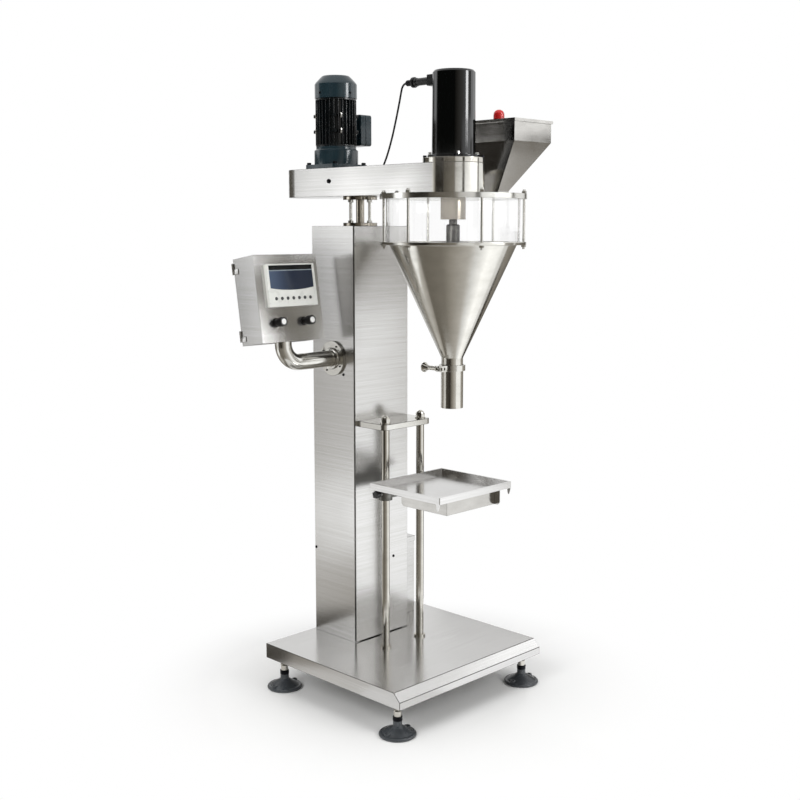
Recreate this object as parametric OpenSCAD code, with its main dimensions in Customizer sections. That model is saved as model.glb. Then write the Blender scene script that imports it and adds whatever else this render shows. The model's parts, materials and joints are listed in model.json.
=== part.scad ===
// Semi-automatic auger filling machine for powder.
// Millimetres, Z up, front towards -Y. The origin is on the floor, under the middle of the base.

/* [Base and feet] */
// Width of the base pan
base_w = 640; // [560:5:760]
// Depth of the base pan
base_d = 600; // [560:5:700]
// Height of the base pan's top above the floor
base_top = 144; // [138:1:170]
// Height of the base pan's sides
base_h = 47; // [44:1:60]
// Width of the bevel along the front edge
bevel = 24; // [10:1:28]
// Sheet thickness of the base pan
base_sheet = 3; // [2:0.5:4]
// Distance from a foot's centre to the base's left or right edge
foot_inset_x = 37; // [34:1:60]
// Distance from a foot's centre to the base's front or rear edge
foot_inset_y = 45; // [34:1:60]
// Diameter of a foot pad
pad_d = 110; // [90:1:130]
// Diameter of a foot's screw
foot_screw_d = 24; // [16:1:26]

/* [Column] */
// Width of the column
column_w = 236; // [190:2:290]
// Depth of the column
column_d = 192; // [160:2:230]
// Height of the column's top above the floor
column_top = 1460; // [1300:10:1700]
// Distance from the base's middle back to the column's middle
column_y = 193; // [165:1:200]
// Sheet thickness of the column
column_sheet = 3; // [2:0.5:4]
// Width of the side cabinet
cabinet_w = 128; // [90:1:180]
// Depth of the side cabinet
cabinet_d = 101; // [80:1:150]
// Height of the side cabinet
cabinet_h = 268; // [200:2:400]

/* [Tray and guide rods] */
// Diameter of the guide rods
rod_d = 25; // [20:1:32]
// Distance between the guide rods
rod_gap = 154; // [130:2:184]
// Distance from the column's front to the rods
rod_reach = 94; // [70:1:110]
// Height of the top of the rods' bracket
bracket_top = 860; // [780:2:900]
// Width of the tray
tray_w = 320; // [270:2:400]
// Depth of the tray
tray_d = 290; // [240:2:340]
// Height of the tray's rim above the floor
tray_top = 689; // [560:1:720]
// Height of the tray's rim above its underside
tray_rim = 20; // [12:1:30]

/* [Head and hopper] */
// Distance from the column's middle forward to the filling axis
reach = 395; // [370:1:440]
// Radius of the hopper's lid and lower ring
lid_r = 214; // [200:1:250]
// Outer radius of the clear window
window_r = 196; // [180:1:198]
// Height of the clear window
window_h = 122; // [100:1:180]
// Height of the cone
cone_h = 332; // [280:1:380]
// Outer radius of the cone's neck
neck_r = 32; // [28:1:34]
// Outer radius of the outlet tube
outlet_r = 33; // [29:0.5:35]
// Wall of the neck and the outlet tube
outlet_wall = 2; // [1.5:0.5:4]
// Length of the outlet tube below the clamp
outlet_len = 112; // [70:1:150]
// Gap between the auger screw and the bore round it
auger_gap = 1.5; // [0.5:0.25:4]
// Pitch of the auger screw
auger_pitch = 48; // [30:1:60]

/* [Arm and drives] */
// Height of the arm's underside above the column's top
post_h = 91; // [75:1:130]
// Half the width of the arm, and the radius of its ends
arm_r = 90; // [86:1:100]
// Height of the arm
arm_h = 88; // [80:1:110]
// Distance from the column's middle back to the stirrer motor
motor_back = 110; // [100:1:140]
// Distance from the stirrer motor back to the arm's rear centre
arm_tail = 97; // [60:1:120]
// Teeth on the motor's pulley
drive_teeth = 24; // [18:1:28]
// Teeth on the stirrer's pulley
driven_teeth = 60; // [40:1:60]
// Outer radius of the servo cover's foot
cover_r = 64; // [60:1:72]
// Height of the servo cover
cover_h = 246; // [230:1:300]
// Radius of the stirrer motor's fins
fin_r = 65; // [60:1:75]
// Number of fins round the stirrer motor
fin_count = 30; // [16:1:40]

/* [Control box] */
// Width of the control box
box_w = 240; // [220:1:300]
// Height of the control box
box_h = 258; // [240:1:320]
// Depth of the control box with its door
box_d = 96; // [80:1:140]
// Lean of the control box backwards, in degrees
box_tilt = 9; // [0:1:15]
// Height of the control pipe's flange above the floor
pipe_z = 1050; // [900:5:1150]
// Outer radius of the control pipe
pipe_r = 25.5; // [20:0.5:27]
// Distance from the column's side to the pipe's riser
pipe_reach = 202; // [180:1:260]

/* [Hidden] */
$fn = 72;

// Gap between parts of different bodies, and the looser one between fixed parts
gap = 0.3;
fit_gap = 0.05;
seam = 0.5;
over = 1;

// Colours
steel = "#c4c4c0";
polished = "#d0d0cc";
dark_steel = "#8a8a86";
black = "#17181a";
motor_paint = "#3f4f55";
rubber = "#2e3032";
ivory = "#e8e6dc";
screen_blue = "#232c44";

// Base
pan_bottom = base_top - base_h;
foot_plate_t = 8;
foot_plate_w = 92;
rail = 40;
foot_x = base_w/2 - foot_inset_x;
foot_y = base_d/2 - foot_inset_y;
foot_bore_r = foot_screw_d/2 + 0.08;
foot_screw_top = pan_bottom + 21;
pad_neck_h = 46;
anchor_r = 5.5;
anchor_reach = pad_d/2 - 15;

// Column, guide rods and tray
column_front_y = column_y - column_d/2;
column_rear_y = column_y + column_d/2;
cap_t = 6;
rod_y = column_front_y - rod_reach;
rod_r = rod_d/2;
bracket_t = 18;
bracket_bottom = bracket_top - bracket_t;
tray_bottom = tray_top - tray_rim;
tray_sheet = 2;
tray_rear_y = rod_y - rod_r - 3.5;
tray_y = tray_rear_y - tray_d/2;
sleeve_r = rod_r + 9;
sleeve_h = 44;
sleeve_top = tray_bottom - 4;
sleeve_z = sleeve_top - sleeve_h/2;
carriage_plate_t = 14;
apron_w = 216;
apron_h = 45;
apron_sheet = 2.5;
apron_rear_y = tray_rear_y - 84;
apron_front_y = tray_y - tray_d/2 + 20;

// Arm and filling head
axis_y = column_y - reach;
motor_y = column_y + motor_back;
arm_rear_y = motor_y + arm_tail;
arm_bottom = column_top + post_h;
arm_top = arm_bottom + arm_h;
arm_wall = 3;
arm_top_t = 4;
post_r = 13;
post_flange_r = 54;
post_flange_t = 10;
post_stud_r = 4;
post_stud_circle = 42;
nut_h = 7;
nut_r = 8.1;
auger_shaft_r = 8;
servo_shaft_r = 7;
stirrer_shaft_r = 12;
bearing_r = 24;
bearing_w = 15;
sleeve_out_r = 37;
lid_t = 15;
lid_top = arm_bottom;
lid_bottom = lid_top - lid_t;
window_wall = 6;
window_bottom = lid_bottom - window_h;
ring_t = 9;
ring_bottom = window_bottom - ring_t;
cone_top_r = window_r - 9;
cone_bottom = ring_bottom - cone_h;
wall = 2;
cone_slope = (cone_top_r - neck_r)/cone_h;
wall_across = wall*sqrt(1 + cone_slope*cone_slope);
tie_circle = window_r + 10;
tie_r = 4;
tie_angles = [for (k = [0:5]) 4.8 + 60*k];
ferrule_t = 5;
outlet_bore_r = min(neck_r, outlet_r) - outlet_wall;
auger_r = outlet_bore_r - auger_gap;
ferrule_r = max(neck_r, outlet_r) + 2.5;
ferrule_z = cone_bottom - 29;
outlet_end = ferrule_z - ferrule_t - outlet_len - 3.5;
clamp_r = ferrule_r + 3.5;
clamp_half_h = 8.5;
clamp_bolt_x = -clamp_r - 14;
clamp_bolt_r = 4;
sleeve_bottom = lid_bottom - 58;
hub_top = sleeve_bottom - 14;
hub_h = 80;
hub_r = 20;
stirrer_top = arm_bottom + 69;
auger_top = arm_top + 31;
screw_top = cone_bottom + 39;
flange_t = 15;
bell_h = 46;

// Belt drive
belt_pitch = 8;
tooth_h = 2.6;
belt_z = arm_bottom + 37;
pulley_w = 28;
belt_w = 22;
belt_t = 4;
drive_r = drive_teeth*belt_pitch/(2*PI);
driven_r = driven_teeth*belt_pitch/(2*PI);
motor_shaft_r = 9.5;

// Stirrer motor
shield_h = 70;
shield_flange_t = 14;
shield_flange_w = 144;
shield_r = fin_r + 5;
fin_bottom = arm_top + shield_h;
fin_h = 149;
fin_top = fin_bottom + fin_h;
cowl_r = fin_r + 2;
cowl_h = 70;

// Feed funnel, given from the filling axis
mouth_x = [160, 334];
mouth_y = [-95, 85];
mouth_top = arm_bottom + 222;
mouth_band = 65;
throat_x = [124, 172];
throat_y = [-66, -10];
throat_z = arm_bottom + 11;
funnel_wall = 2;
sensor_x = 243;
sensor_y = 35;
sensor_r = 14;

// Control box, in its own frame: origin at the middle of its underside
box_x = -column_w/2 - pipe_reach;
box_y = column_y - 5;
box_z = pipe_z + 64;
elbow_r = 60;
box_sheet = 2;
door_t = 2;
box_front = -box_d/2;
door_in = box_d/2 - door_t + gap;
bezel_x = 7;
bezel_z = box_h - 92;
bezel_w = 184;
bezel_h = 126;
bezel_t = 11;
screen_z = box_h - 70;
screen_w = 166;
screen_h = 74;
screen_bow = 7;
key_r = 5;
key_pitch = 21.8;
key_z = box_h - 131;
knob_r = 14;
knob_z = 58;
knob_left_x = -55;
knob_right_x = 55;
hinge_r = 3;
hinge_pin_r = 1.5;
hinge_x = -box_w/2 - hinge_r;
hinge_y = door_in + door_t;
hinge_z = [12, box_h - 46];

// Servo cable and its plug
plug_z = arm_top + 241;
plug_y = axis_y + cover_r;
tail_y = plug_y + 127;
cable_r = 3;
cable_foot_y = tail_y + 97;
cable_route = [
  [0, -11, 1880], [0, -1, 1877.5], [0, 7, 1869], [0, 11.5, 1855], [0, 18, 1830],
  [0, 27, 1798], [0, 37, 1765], [0, 48, 1731], [0, 61, 1697], [0, 73, 1670],
  [0, 81, 1655], [0, 86, 1645]
];

// Flat shapes

// A rectangle with round corners, centred
module rounded(w, d, r) {
  square([w - 2*r, d], center = true);
  square([w, d - 2*r], center = true);
  for (x = [-1, 1], y = [-1, 1]) translate([x*(w/2 - r), y*(d/2 - r)]) circle(r);
}

// Two round ends joined by straight sides, from y1 to y2
module stadium(r, y1, y2) {
  translate([0, y1]) circle(r);
  translate([0, y2]) circle(r);
  translate([-r, y1]) square([2*r, y2 - y1]);
}

// A ring standing on z
module ring(outer, inner, z, h) {
  translate([0, 0, z]) difference() {
    cylinder(r = outer, h = h);
    translate([0, 0, -over]) cylinder(r = inner, h = h + 2*over);
  }
}

// A box given by its corners
module block(low, high) {
  translate(low) cube(high - low);
}

// A hexagonal nut standing on z
module nut(r, z, h) {
  translate([0, 0, z]) cylinder(r = r, h = h, $fn = 6);
}

// A toothed pulley's outline
module toothed(teeth, r) {
  gullet = 2*PI*r/teeth*0.42;
  difference() {
    circle(r);
    for (k = [0:teeth - 1]) rotate(360/teeth*k) translate([r - tooth_h/2 + 0.5, 0])
      square([tooth_h + 1, gullet], center = true);
  }
}

// Base

// The pan's side profile across Y, drawn in by t
function pan_profile(t, top, bottom) = let(c = bevel - t*(2 - sqrt(2)), f = -base_d/2 + t)
  [[f, bottom], [f, top - c], [f + c, top], [base_d/2 - t, top], [base_d/2 - t, bottom]];

module pan_block(t, top, bottom) {
  rotate([90, 0, 90]) linear_extrude(base_w - 2*t, center = true)
    polygon(pan_profile(t, top, bottom));
}

module base_cover() color(steel) difference() {
  pan_block(0, base_top, pan_bottom);
  pan_block(base_sheet, base_top - base_sheet, pan_bottom - over);
  for (x = [-1, 1]) translate([x*rod_gap/2, rod_y, base_top - base_sheet - over])
    cylinder(r = rod_r + gap, h = base_sheet + 2*over);
}

module base_frame() {
  rail_top = base_top - base_sheet;
  rail_bottom = pan_bottom + foot_plate_t;
  out_x = base_w/2 - base_sheet;
  front = -base_d/2 + bevel + base_sheet;
  rear = base_d/2 - base_sheet;
  pan_front = -base_d/2 + base_sheet;
  boss_r = foot_screw_d/2 + 8;
  boss_top = min(rail_top - 2, base_top - bevel + foot_inset_y - boss_r - base_sheet*sqrt(2) - 1);
  color(dark_steel) difference() {
    union() {
      for (s = [-1, 1]) block([s*out_x - (s > 0 ? rail : 0), front, rail_bottom],
        [s*out_x + (s < 0 ? rail : 0), rear, rail_top]);
      for (y = [front, rod_y - rail/2, column_y - rail/2, rear - rail])
        block([-out_x, y, rail_bottom], [out_x, y + rail, rail_top]);
      for (x = [-1, 1], y = [pan_front, rear - foot_plate_w])
        block([x > 0 ? out_x - foot_plate_w : -out_x, y, pan_bottom],
          [x > 0 ? out_x : foot_plate_w - out_x, y + foot_plate_w, rail_bottom]);
      for (x = [-1, 1], y = [-1, 1]) translate([x*foot_x, y*foot_y, pan_bottom])
        cylinder(r = boss_r, h = boss_top - pan_bottom);
    }
    for (x = [-1, 1]) {
      for (y = [-1, 1]) translate([x*foot_x, y*foot_y, pan_bottom - over])
        cylinder(r = foot_bore_r, h = boss_top - pan_bottom - 3 + over);
      translate([x*rod_gap/2, rod_y, rail_bottom + over])
        cylinder(r = rod_r + fit_gap, h = rail);
    }
  }
}

// A levelling foot: a dished pad with two anchor holes, and its screw
module foot(x, y) color(rubber) translate([x, y, 0]) {
  neck = foot_screw_d/2 + 1;
  difference() {
    union() {
      rotate_extrude() polygon([[0, 0], [pad_d/2 - 3, 0], [pad_d/2, 3], [pad_d/2, 7],
        [pad_d/2 - 3, 10], [pad_d/2 - 9, 11], [neck + 7, 26], [neck + 1, 31], [neck, pad_neck_h],
        [0, pad_neck_h]]);
      for (a = [0, 180]) rotate(a) translate([anchor_reach, 0, 0]) cylinder(r = anchor_r + 4, h = 17);
    }
    for (a = [0, 180]) rotate(a) translate([anchor_reach, 0, -over])
      cylinder(r = anchor_r, h = 30);
  }
  cylinder(r = foot_screw_d/2, h = foot_screw_top);
}

module foot_front_left() foot(-foot_x, -foot_y);
module foot_front_right() foot(foot_x, -foot_y);
module foot_rear_left() foot(-foot_x, foot_y);
module foot_rear_right() foot(foot_x, foot_y);

// Column

// Left, right and rear walls in one fold, with a cap, a foot flange and front returns
module column_shell() {
  w = column_w/2;
  front = column_front_y + column_sheet + seam;
  t = column_sheet;
  color(steel) difference() {
    block([-w, front, base_top], [w, column_rear_y, column_top]);
    block([-w + t, front + t, base_top + t + over], [w - t, column_rear_y - t, column_top - cap_t]);
    block([-w + 24, front - over, base_top - over], [w - 24, front + t + over, column_top - cap_t]);
    block([-w + 34, front, base_top - over], [w - 34, column_rear_y - 34, base_top + t + 2*over]);
  }
}

// The front cover, inset from both corners
module column_front() color(steel)
  block([-column_w/2 + 2.5, column_front_y, base_top + 2.5],
    [column_w/2 - 2.5, column_front_y + column_sheet, column_top - seam]);

// A closed box beside the column with a lipped lid
module side_cabinet() {
  x1 = column_w/2;
  x2 = x1 + cabinet_w;
  y1 = column_rear_y - cabinet_d;
  top = base_top + cabinet_h;
  t = 2;
  lip = 18;
  color(steel) {
    difference() {
      block([x1, y1 + t, base_top], [x2 - t, column_rear_y - t, top - t - seam]);
      block([x1 + t, y1 + 2*t, base_top + t], [x2 - 2*t, column_rear_y - 2*t, top]);
    }
    difference() {
      block([x1, y1, top - lip], [x2, column_rear_y, top]);
      block([x1 - over, y1 + t - seam, top - lip - over], [x2 - t + seam, column_rear_y - t + seam, top - t]);
    }
  }
}

// Guide rods and tray

// Two rods with a foot collar, and a washer and domed nut on the bracket
module guide_rods() color(polished) for (x = [-1, 1]) translate([x*rod_gap/2, rod_y, 0]) {
  translate([0, 0, pan_bottom + foot_plate_t + over])
    cylinder(r = rod_r, h = bracket_top - pan_bottom - foot_plate_t - over);
  translate([0, 0, base_top]) cylinder(r = rod_r + 6, h = 7);
  translate([0, 0, bracket_top]) cylinder(r = rod_r + 4, h = 3);
  nut(rod_r + 2, bracket_top + 3, 13);
  intersection() {
    translate([0, 0, bracket_top + 13]) sphere(r = rod_r);
    translate([0, 0, bracket_top + 10]) cylinder(r = rod_r, h = 40);
  }
}

// The plate that ties the rods' tops to the column
module rod_bracket() {
  w = rod_gap/2 + 27;
  front = rod_y - 24;
  corner = 20;
  color(polished) difference() {
    translate([0, 0, bracket_bottom]) linear_extrude(bracket_t) {
      for (x = [-1, 1]) translate([x*(w - corner), front + corner]) circle(corner);
      polygon([[-w + corner, front], [w - corner, front], [w, front + corner],
        [w, column_front_y], [-w, column_front_y], [-w, front + corner]]);
    }
    for (x = [-1, 1]) translate([x*rod_gap/2, rod_y, bracket_bottom - over])
      cylinder(r = rod_r + fit_gap, h = bracket_t + 2*over);
  }
}

// Two sleeves on the rods, the web between them and the arm plate under the tray
module carriage() {
  plate_w = apron_w - 2*apron_sheet;
  boss_x = -rod_gap/2 - sleeve_r - 6;
  color(dark_steel) difference() {
    union() {
      for (x = [-1, 1]) translate([x*rod_gap/2, rod_y, sleeve_top - sleeve_h])
        cylinder(r = sleeve_r, h = sleeve_h);
      block([-rod_gap/2, rod_y - 7, sleeve_top - sleeve_h + 4], [rod_gap/2, rod_y + 7, sleeve_top]);
      for (x = [-1, 1]) block([x*rod_gap/2 - 13, apron_rear_y - 40, tray_bottom - carriage_plate_t - 10],
        [x*rod_gap/2 + 13, rod_y - rod_r - 4, sleeve_top]);
      block([-plate_w/2, apron_rear_y - 52, tray_bottom - carriage_plate_t],
        [plate_w/2, apron_rear_y, tray_bottom]);
      translate([boss_x, rod_y, sleeve_z]) rotate([0, 90, 0]) cylinder(r = 9, h = sleeve_r);
    }
    for (x = [-1, 1]) translate([x*rod_gap/2, rod_y, sleeve_top - sleeve_h - over])
      cylinder(r = rod_r + fit_gap, h = sleeve_h + 2*over);
    translate([boss_x - over, rod_y, sleeve_z]) rotate([0, 90, 0])
      cylinder(r = 4 + fit_gap, h = sleeve_r);
  }
}

// A side plate of the apron; the right one runs on to the tray's front
module apron_side(right) {
  bottom = tray_bottom - apron_h;
  corner = 12;
  front = apron_front_y - (right ? 20 : 0);
  if (right) translate([front + corner, bottom + corner]) circle(corner);
  translate([apron_rear_y - corner, bottom + corner]) circle(corner);
  translate([apron_rear_y - corner, tray_bottom - corner]) circle(corner);
  polygon(concat(right ? [[front, bottom + corner], [front + corner, bottom]] : [[front, bottom]],
    [[apron_rear_y - corner, bottom], [apron_rear_y, bottom + corner],
      [apron_rear_y, tray_bottom - corner], [apron_rear_y - corner, tray_bottom],
      [front, tray_bottom]]));
}

// The folded apron under the tray, open at the back
module tray_bracket() {
  w = apron_w/2;
  t = apron_sheet;
  bottom = tray_bottom - apron_h;
  color(steel) {
    for (s = [-1, 1]) translate([s*(w - t/2), 0, 0]) rotate([90, 0, 90])
      linear_extrude(t, center = true) apron_side(s > 0);
    block([-w, apron_front_y, bottom], [w, apron_front_y + t, tray_bottom]);
    for (s = [-1, 1]) block([s > 0 ? w - 18 : -w, apron_front_y, tray_bottom - t],
      [s > 0 ? w : 18 - w, apron_rear_y - 54, tray_bottom]);
    block([-w, apron_front_y, tray_bottom - t], [w, apron_front_y + 18, tray_bottom]);
  }
}

// A dished tray with a hemmed rim and a pointed tab under both front corners
module tray() {
  hem = 4;
  front = tray_y - tray_d/2;
  color(steel) {
    translate([0, tray_y, tray_bottom]) difference() {
      linear_extrude(tray_rim) rounded(tray_w, tray_d, 2);
      translate([0, 0, tray_sheet]) linear_extrude(tray_rim - tray_sheet - 6)
        rounded(tray_w - 2*tray_sheet, tray_d - 2*tray_sheet, 2);
      translate([0, 0, tray_sheet + over]) linear_extrude(tray_rim)
        rounded(tray_w - 2*tray_sheet - 2*hem, tray_d - 2*tray_sheet - 2*hem, 2);
    }
    for (s = [-1, 1]) translate([s*(tray_w/2 - tray_sheet/2), 0, 0]) rotate([90, 0, 90])
      linear_extrude(tray_sheet, center = true) polygon([[front + 1, tray_bottom + 1],
        [front + 2, tray_bottom - 6], [front + 6, tray_bottom - 18], [front + 9, tray_bottom - 21],
        [front + 12, tray_bottom - 17], [front + 15, tray_bottom + 1]]);
  }
}

// The star knob that clamps the carriage on the left rod
module clamp_knob() {
  tip = -rod_gap/2 - rod_r - gap;
  seat = -rod_gap/2 - sleeve_r - 6 - gap;
  color(black) translate([0, rod_y, sleeve_z]) rotate([0, -90, 0]) {
    translate([0, 0, -tip]) cylinder(r = 4, h = tip - seat + 8);
    translate([0, 0, -seat]) cylinder(r = 8, h = 4);
    translate([0, 0, -seat + 3]) cylinder(r = 9.5, h = 15);
    for (k = [0:4]) rotate(72*k) translate([8.5, 0, -seat + 4]) cylinder(r = 4, h = 13);
  }
}

// Post between column and arm

module spacer_post() color(polished) translate([0, column_y, column_top]) difference() {
  union() {
    cylinder(r = post_flange_r, h = post_flange_t);
    cylinder(r = post_r, h = post_h);
    translate([0, 0, post_h - post_flange_t]) cylinder(r = post_flange_r, h = post_flange_t);
  }
  for (a = [0:90:270]) rotate(a) translate([post_stud_circle, 0, -over])
    cylinder(r = post_stud_r + gap, h = post_h + 2*over);
}

module post_studs() color(steel) translate([0, column_y, column_top])
  for (a = [0:90:270]) rotate(a) translate([post_stud_circle, 0, 0]) {
    cylinder(r = post_stud_r, h = post_h);
    nut(nut_r, post_flange_t, nut_h);
    nut(nut_r, post_h - post_flange_t - nut_h, nut_h);
  }

// Arm

module arm_housing() color(steel) difference() {
  translate([0, 0, arm_bottom]) linear_extrude(arm_h) stadium(arm_r, axis_y, arm_rear_y);
  translate([0, 0, arm_bottom - over]) linear_extrude(arm_h - arm_top_t + over)
    stadium(arm_r - arm_wall, axis_y, arm_rear_y);
  translate([0, axis_y, arm_top - arm_top_t - over]) cylinder(r = 34, h = arm_top_t + 2*over);
  translate([0, motor_y, arm_top - arm_top_t - over]) cylinder(r = 34, h = arm_top_t + 2*over);
}

module arm_bottom_cover() color(steel) difference() {
  translate([0, 0, arm_bottom]) linear_extrude(arm_wall)
    stadium(arm_r - arm_wall - seam, axis_y, arm_rear_y);
  translate([0, axis_y, arm_bottom - over])
    cylinder(r = sleeve_out_r + gap, h = arm_wall + 2*over);
}

// Stirrer motor

module motor_endshield() color(motor_paint) translate([0, motor_y, arm_top]) difference() {
  union() {
    linear_extrude(shield_flange_t) rounded(shield_flange_w, shield_flange_w, 12);
    translate([0, 0, shield_flange_t]) cylinder(r = shield_r, h = shield_h - shield_flange_t - 12);
    translate([0, 0, shield_h - 12]) cylinder(r1 = shield_r, r2 = fin_r - 1, h = 4);
    translate([0, 0, shield_h - 8]) cylinder(r = fin_r - 1, h = 8);
  }
  translate([0, 0, -over]) cylinder(r = 30, h = shield_h - 18);
  cylinder(r = motor_shaft_r + fit_gap, h = shield_h + over);
}

// Finned frame with its upper end plate and two rows of screw bosses
module motor_body() {
  bore = fin_r - 24;
  color(black) translate([0, motor_y, fin_bottom]) difference() {
    union() {
      linear_extrude(fin_h) {
        circle(fin_r - 8);
        for (k = [0:fin_count - 1]) rotate(360/fin_count*(k + 0.5))
          translate([fin_r - 12, -1.3]) square([12, 2.6]);
      }
      cylinder(r = fin_r - 1, h = 5);
      translate([0, 0, fin_h - 6]) cylinder(r = fin_r - 1, h = 6);
      for (a = [45:90:315], z = [47, 95]) rotate(a) translate([fin_r - 12, 0, z])
        rotate([0, 90, 0]) cylinder(r1 = 9, r2 = 5, h = 18);
    }
    translate([0, 0, -over]) cylinder(r = bore, h = fin_h - 9);
    cylinder(r = motor_shaft_r + fit_gap, h = fin_h + over);
  }
}

// Pressed cowl with air slots in its top
module motor_fan_cover() {
  t = 2;
  color(motor_paint) translate([0, motor_y, fin_top]) difference() {
    rotate_extrude() polygon([[cowl_r - t, 0], [cowl_r, 0], [cowl_r, cowl_h - 26],
      [cowl_r - 3, cowl_h - 21], [cowl_r - 18, cowl_h - 5], [cowl_r - 24, cowl_h], [0, cowl_h],
      [0, cowl_h - t], [cowl_r - 25, cowl_h - t], [cowl_r - 20, cowl_h - 6.5],
      [cowl_r - 5, cowl_h - 22], [cowl_r - t, cowl_h - 27]]);
    for (a = [0:30:330]) rotate(a) translate([14, -1.6, cowl_h - t - over])
      cube([24, 3.2, t + 2*over]);
  }
}

// Terminal box on the motor's right side: a base and a lid with a seal gap
module terminal_box() {
  half = 43;
  z1 = fin_bottom + 6;
  z2 = z1 + 98;
  seal = fin_r + 24;
  color(motor_paint) translate([0, motor_y, 0]) {
    difference() {
      union() {
        block([fin_r - 8, -24, z1 + 14], [fin_r + 6, 24, z2 - 14]);
        translate([fin_r + 4, 0, (z1 + z2)/2]) rotate([90, 0, 90]) linear_extrude(20)
          rounded(2*half, z2 - z1, 8);
      }
      translate([0, 0, z1 - over]) cylinder(r = fin_r + gap, h = z2 - z1 + 2*over);
    }
    translate([seal - over, 0, (z1 + z2)/2]) rotate([90, 0, 90]) linear_extrude(4)
      rounded(2*half - 10, z2 - z1 - 10, 6);
    translate([seal + 2, 0, (z1 + z2)/2]) rotate([90, 0, 90]) linear_extrude(24)
      rounded(2*half, z2 - z1, 8);
  }
}

// Rotor, shaft and cooling fan
module motor_rotor() color(dark_steel) translate([0, motor_y, 0]) {
  translate([0, 0, belt_z - 3]) cylinder(r = motor_shaft_r, h = fin_top + 27 - belt_z + 3);
  translate([0, 0, fin_bottom + 14]) cylinder(r = fin_r - 25, h = fin_h - 30);
  translate([0, 0, fin_top + 8]) cylinder(r = 17, h = 18);
  for (k = [0:6]) rotate(360/7*k) translate([10, -1.5, fin_top + 8]) cube([cowl_r - 20, 3, 16]);
}

// Belt drive inside the arm

module pulley(teeth, r, bore, web) difference() {
  translate([0, 0, belt_z]) linear_extrude(pulley_w) toothed(teeth, r);
  translate([0, 0, belt_z - over]) cylinder(r = bore, h = pulley_w + 2*over);
  if (web) for (z = [belt_z - over, belt_z + pulley_w - 8])
    ring(r - 12, bore + 9, z, 8 + over);
}

module drive_pulley() color(dark_steel) translate([0, motor_y, 0])
  pulley(drive_teeth, drive_r, motor_shaft_r + fit_gap, false);

module driven_pulley() color(dark_steel) translate([0, axis_y, 0])
  pulley(driven_teeth, driven_r, stirrer_shaft_r + fit_gap, true);

// A flat loop outline round both pulleys, grown by g
module belt_outline(g) {
  big = driven_r + g;
  small = drive_r + g;
  lean = asin((big - small)/(motor_y - axis_y));
  translate([0, axis_y]) circle(big);
  translate([0, motor_y]) circle(small);
  polygon([
    [big*cos(lean), axis_y + big*sin(lean)], [small*cos(lean), motor_y + small*sin(lean)],
    [-small*cos(lean), motor_y + small*sin(lean)], [-big*cos(lean), axis_y + big*sin(lean)]
  ]);
}

module drive_belt() color(black)
  translate([0, 0, belt_z + (pulley_w - belt_w)/2]) linear_extrude(belt_w) difference() {
    belt_outline(gap + belt_t);
    belt_outline(gap);
  }

// Stirrer

// One scraper: a spoke from the hub and a blade along the cone's wall
module scraper() {
  stand_off = 6;
  top_z = ring_bottom - 34;
  low_z = cone_bottom + 62;
  top_x = cone_top_r - wall_across - (ring_bottom - top_z)*cone_slope - stand_off;
  low_x = top_x - (top_z - low_z)*cone_slope;
  blade = 20;
  rotate([90, 0, 0]) linear_extrude(8, center = true) polygon([
    [stirrer_shaft_r, hub_top - 54], [stirrer_shaft_r, hub_top - 74], [top_x - blade - 6, top_z - 16],
    [low_x - blade, low_z], [low_x, low_z], [top_x, top_z], [top_x - 10, top_z + 6]
  ]);
}

module agitator() color(dark_steel) translate([0, axis_y, 0]) difference() {
  union() {
    translate([0, 0, hub_top - 1]) cylinder(r = stirrer_shaft_r, h = stirrer_top - hub_top + 1);
    translate([0, 0, hub_top - 4]) cylinder(r1 = hub_r, r2 = hub_r - 3, h = 4);
    translate([0, 0, hub_top - hub_h]) cylinder(r = hub_r, h = hub_h - 4);
    for (a = [20, 200]) rotate(a) scraper();
  }
  translate([0, 0, hub_top - hub_h - over])
    cylinder(r = auger_shaft_r + gap, h = stirrer_top - hub_top + hub_h + 2*over);
}

module head_bearings() color(polished) translate([0, axis_y, 0])
  for (z = [sleeve_bottom + 6, arm_bottom + 14])
    ring(bearing_r, stirrer_shaft_r + fit_gap, z, bearing_w);

// The sleeve that hangs through the lid and holds both bearings
module bearing_sleeve() color(polished) translate([0, axis_y, 0]) difference() {
  union() {
    translate([0, 0, sleeve_bottom])
      cylinder(r = sleeve_out_r, h = arm_bottom + 33 - sleeve_bottom);
    translate([0, 0, arm_bottom + arm_wall]) cylinder(r = 56, h = 8);
  }
  translate([0, 0, sleeve_bottom + 5]) cylinder(r = bearing_r + fit_gap, h = 200);
  translate([0, 0, sleeve_bottom - over]) cylinder(r = stirrer_shaft_r + gap, h = 20);
}

// Servo head

// The head's round foot and the bell that carries the servo motor
module head_flange() color(polished) translate([0, axis_y, 0]) difference() {
  union() {
    translate([0, 0, arm_top]) cylinder(r = arm_r, h = flange_t - 1);
    translate([0, 0, arm_top + flange_t - 1]) cylinder(r1 = arm_r, r2 = arm_r - 1, h = 1);
    translate([0, 0, arm_top]) cylinder(r = 50, h = flange_t + bell_h);
  }
  translate([0, 0, arm_top - over]) cylinder(r = 34, h = flange_t + bell_h - 6 + over);
  translate([0, 0, arm_top]) cylinder(r = 26, h = flange_t + bell_h + over);
}

module servo_motor() {
  z = arm_top + flange_t + bell_h;
  color(black) translate([0, axis_y, z]) difference() {
    union() {
      linear_extrude(10) rounded(80, 80, 6);
      translate([0, 0, 10]) linear_extrude(148) rounded(74, 74, 8);
      translate([0, 0, 158]) linear_extrude(20) rounded(58, 58, 8);
    }
    translate([0, 0, -over]) cylinder(r = servo_shaft_r + gap, h = 22);
  }
}

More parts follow.
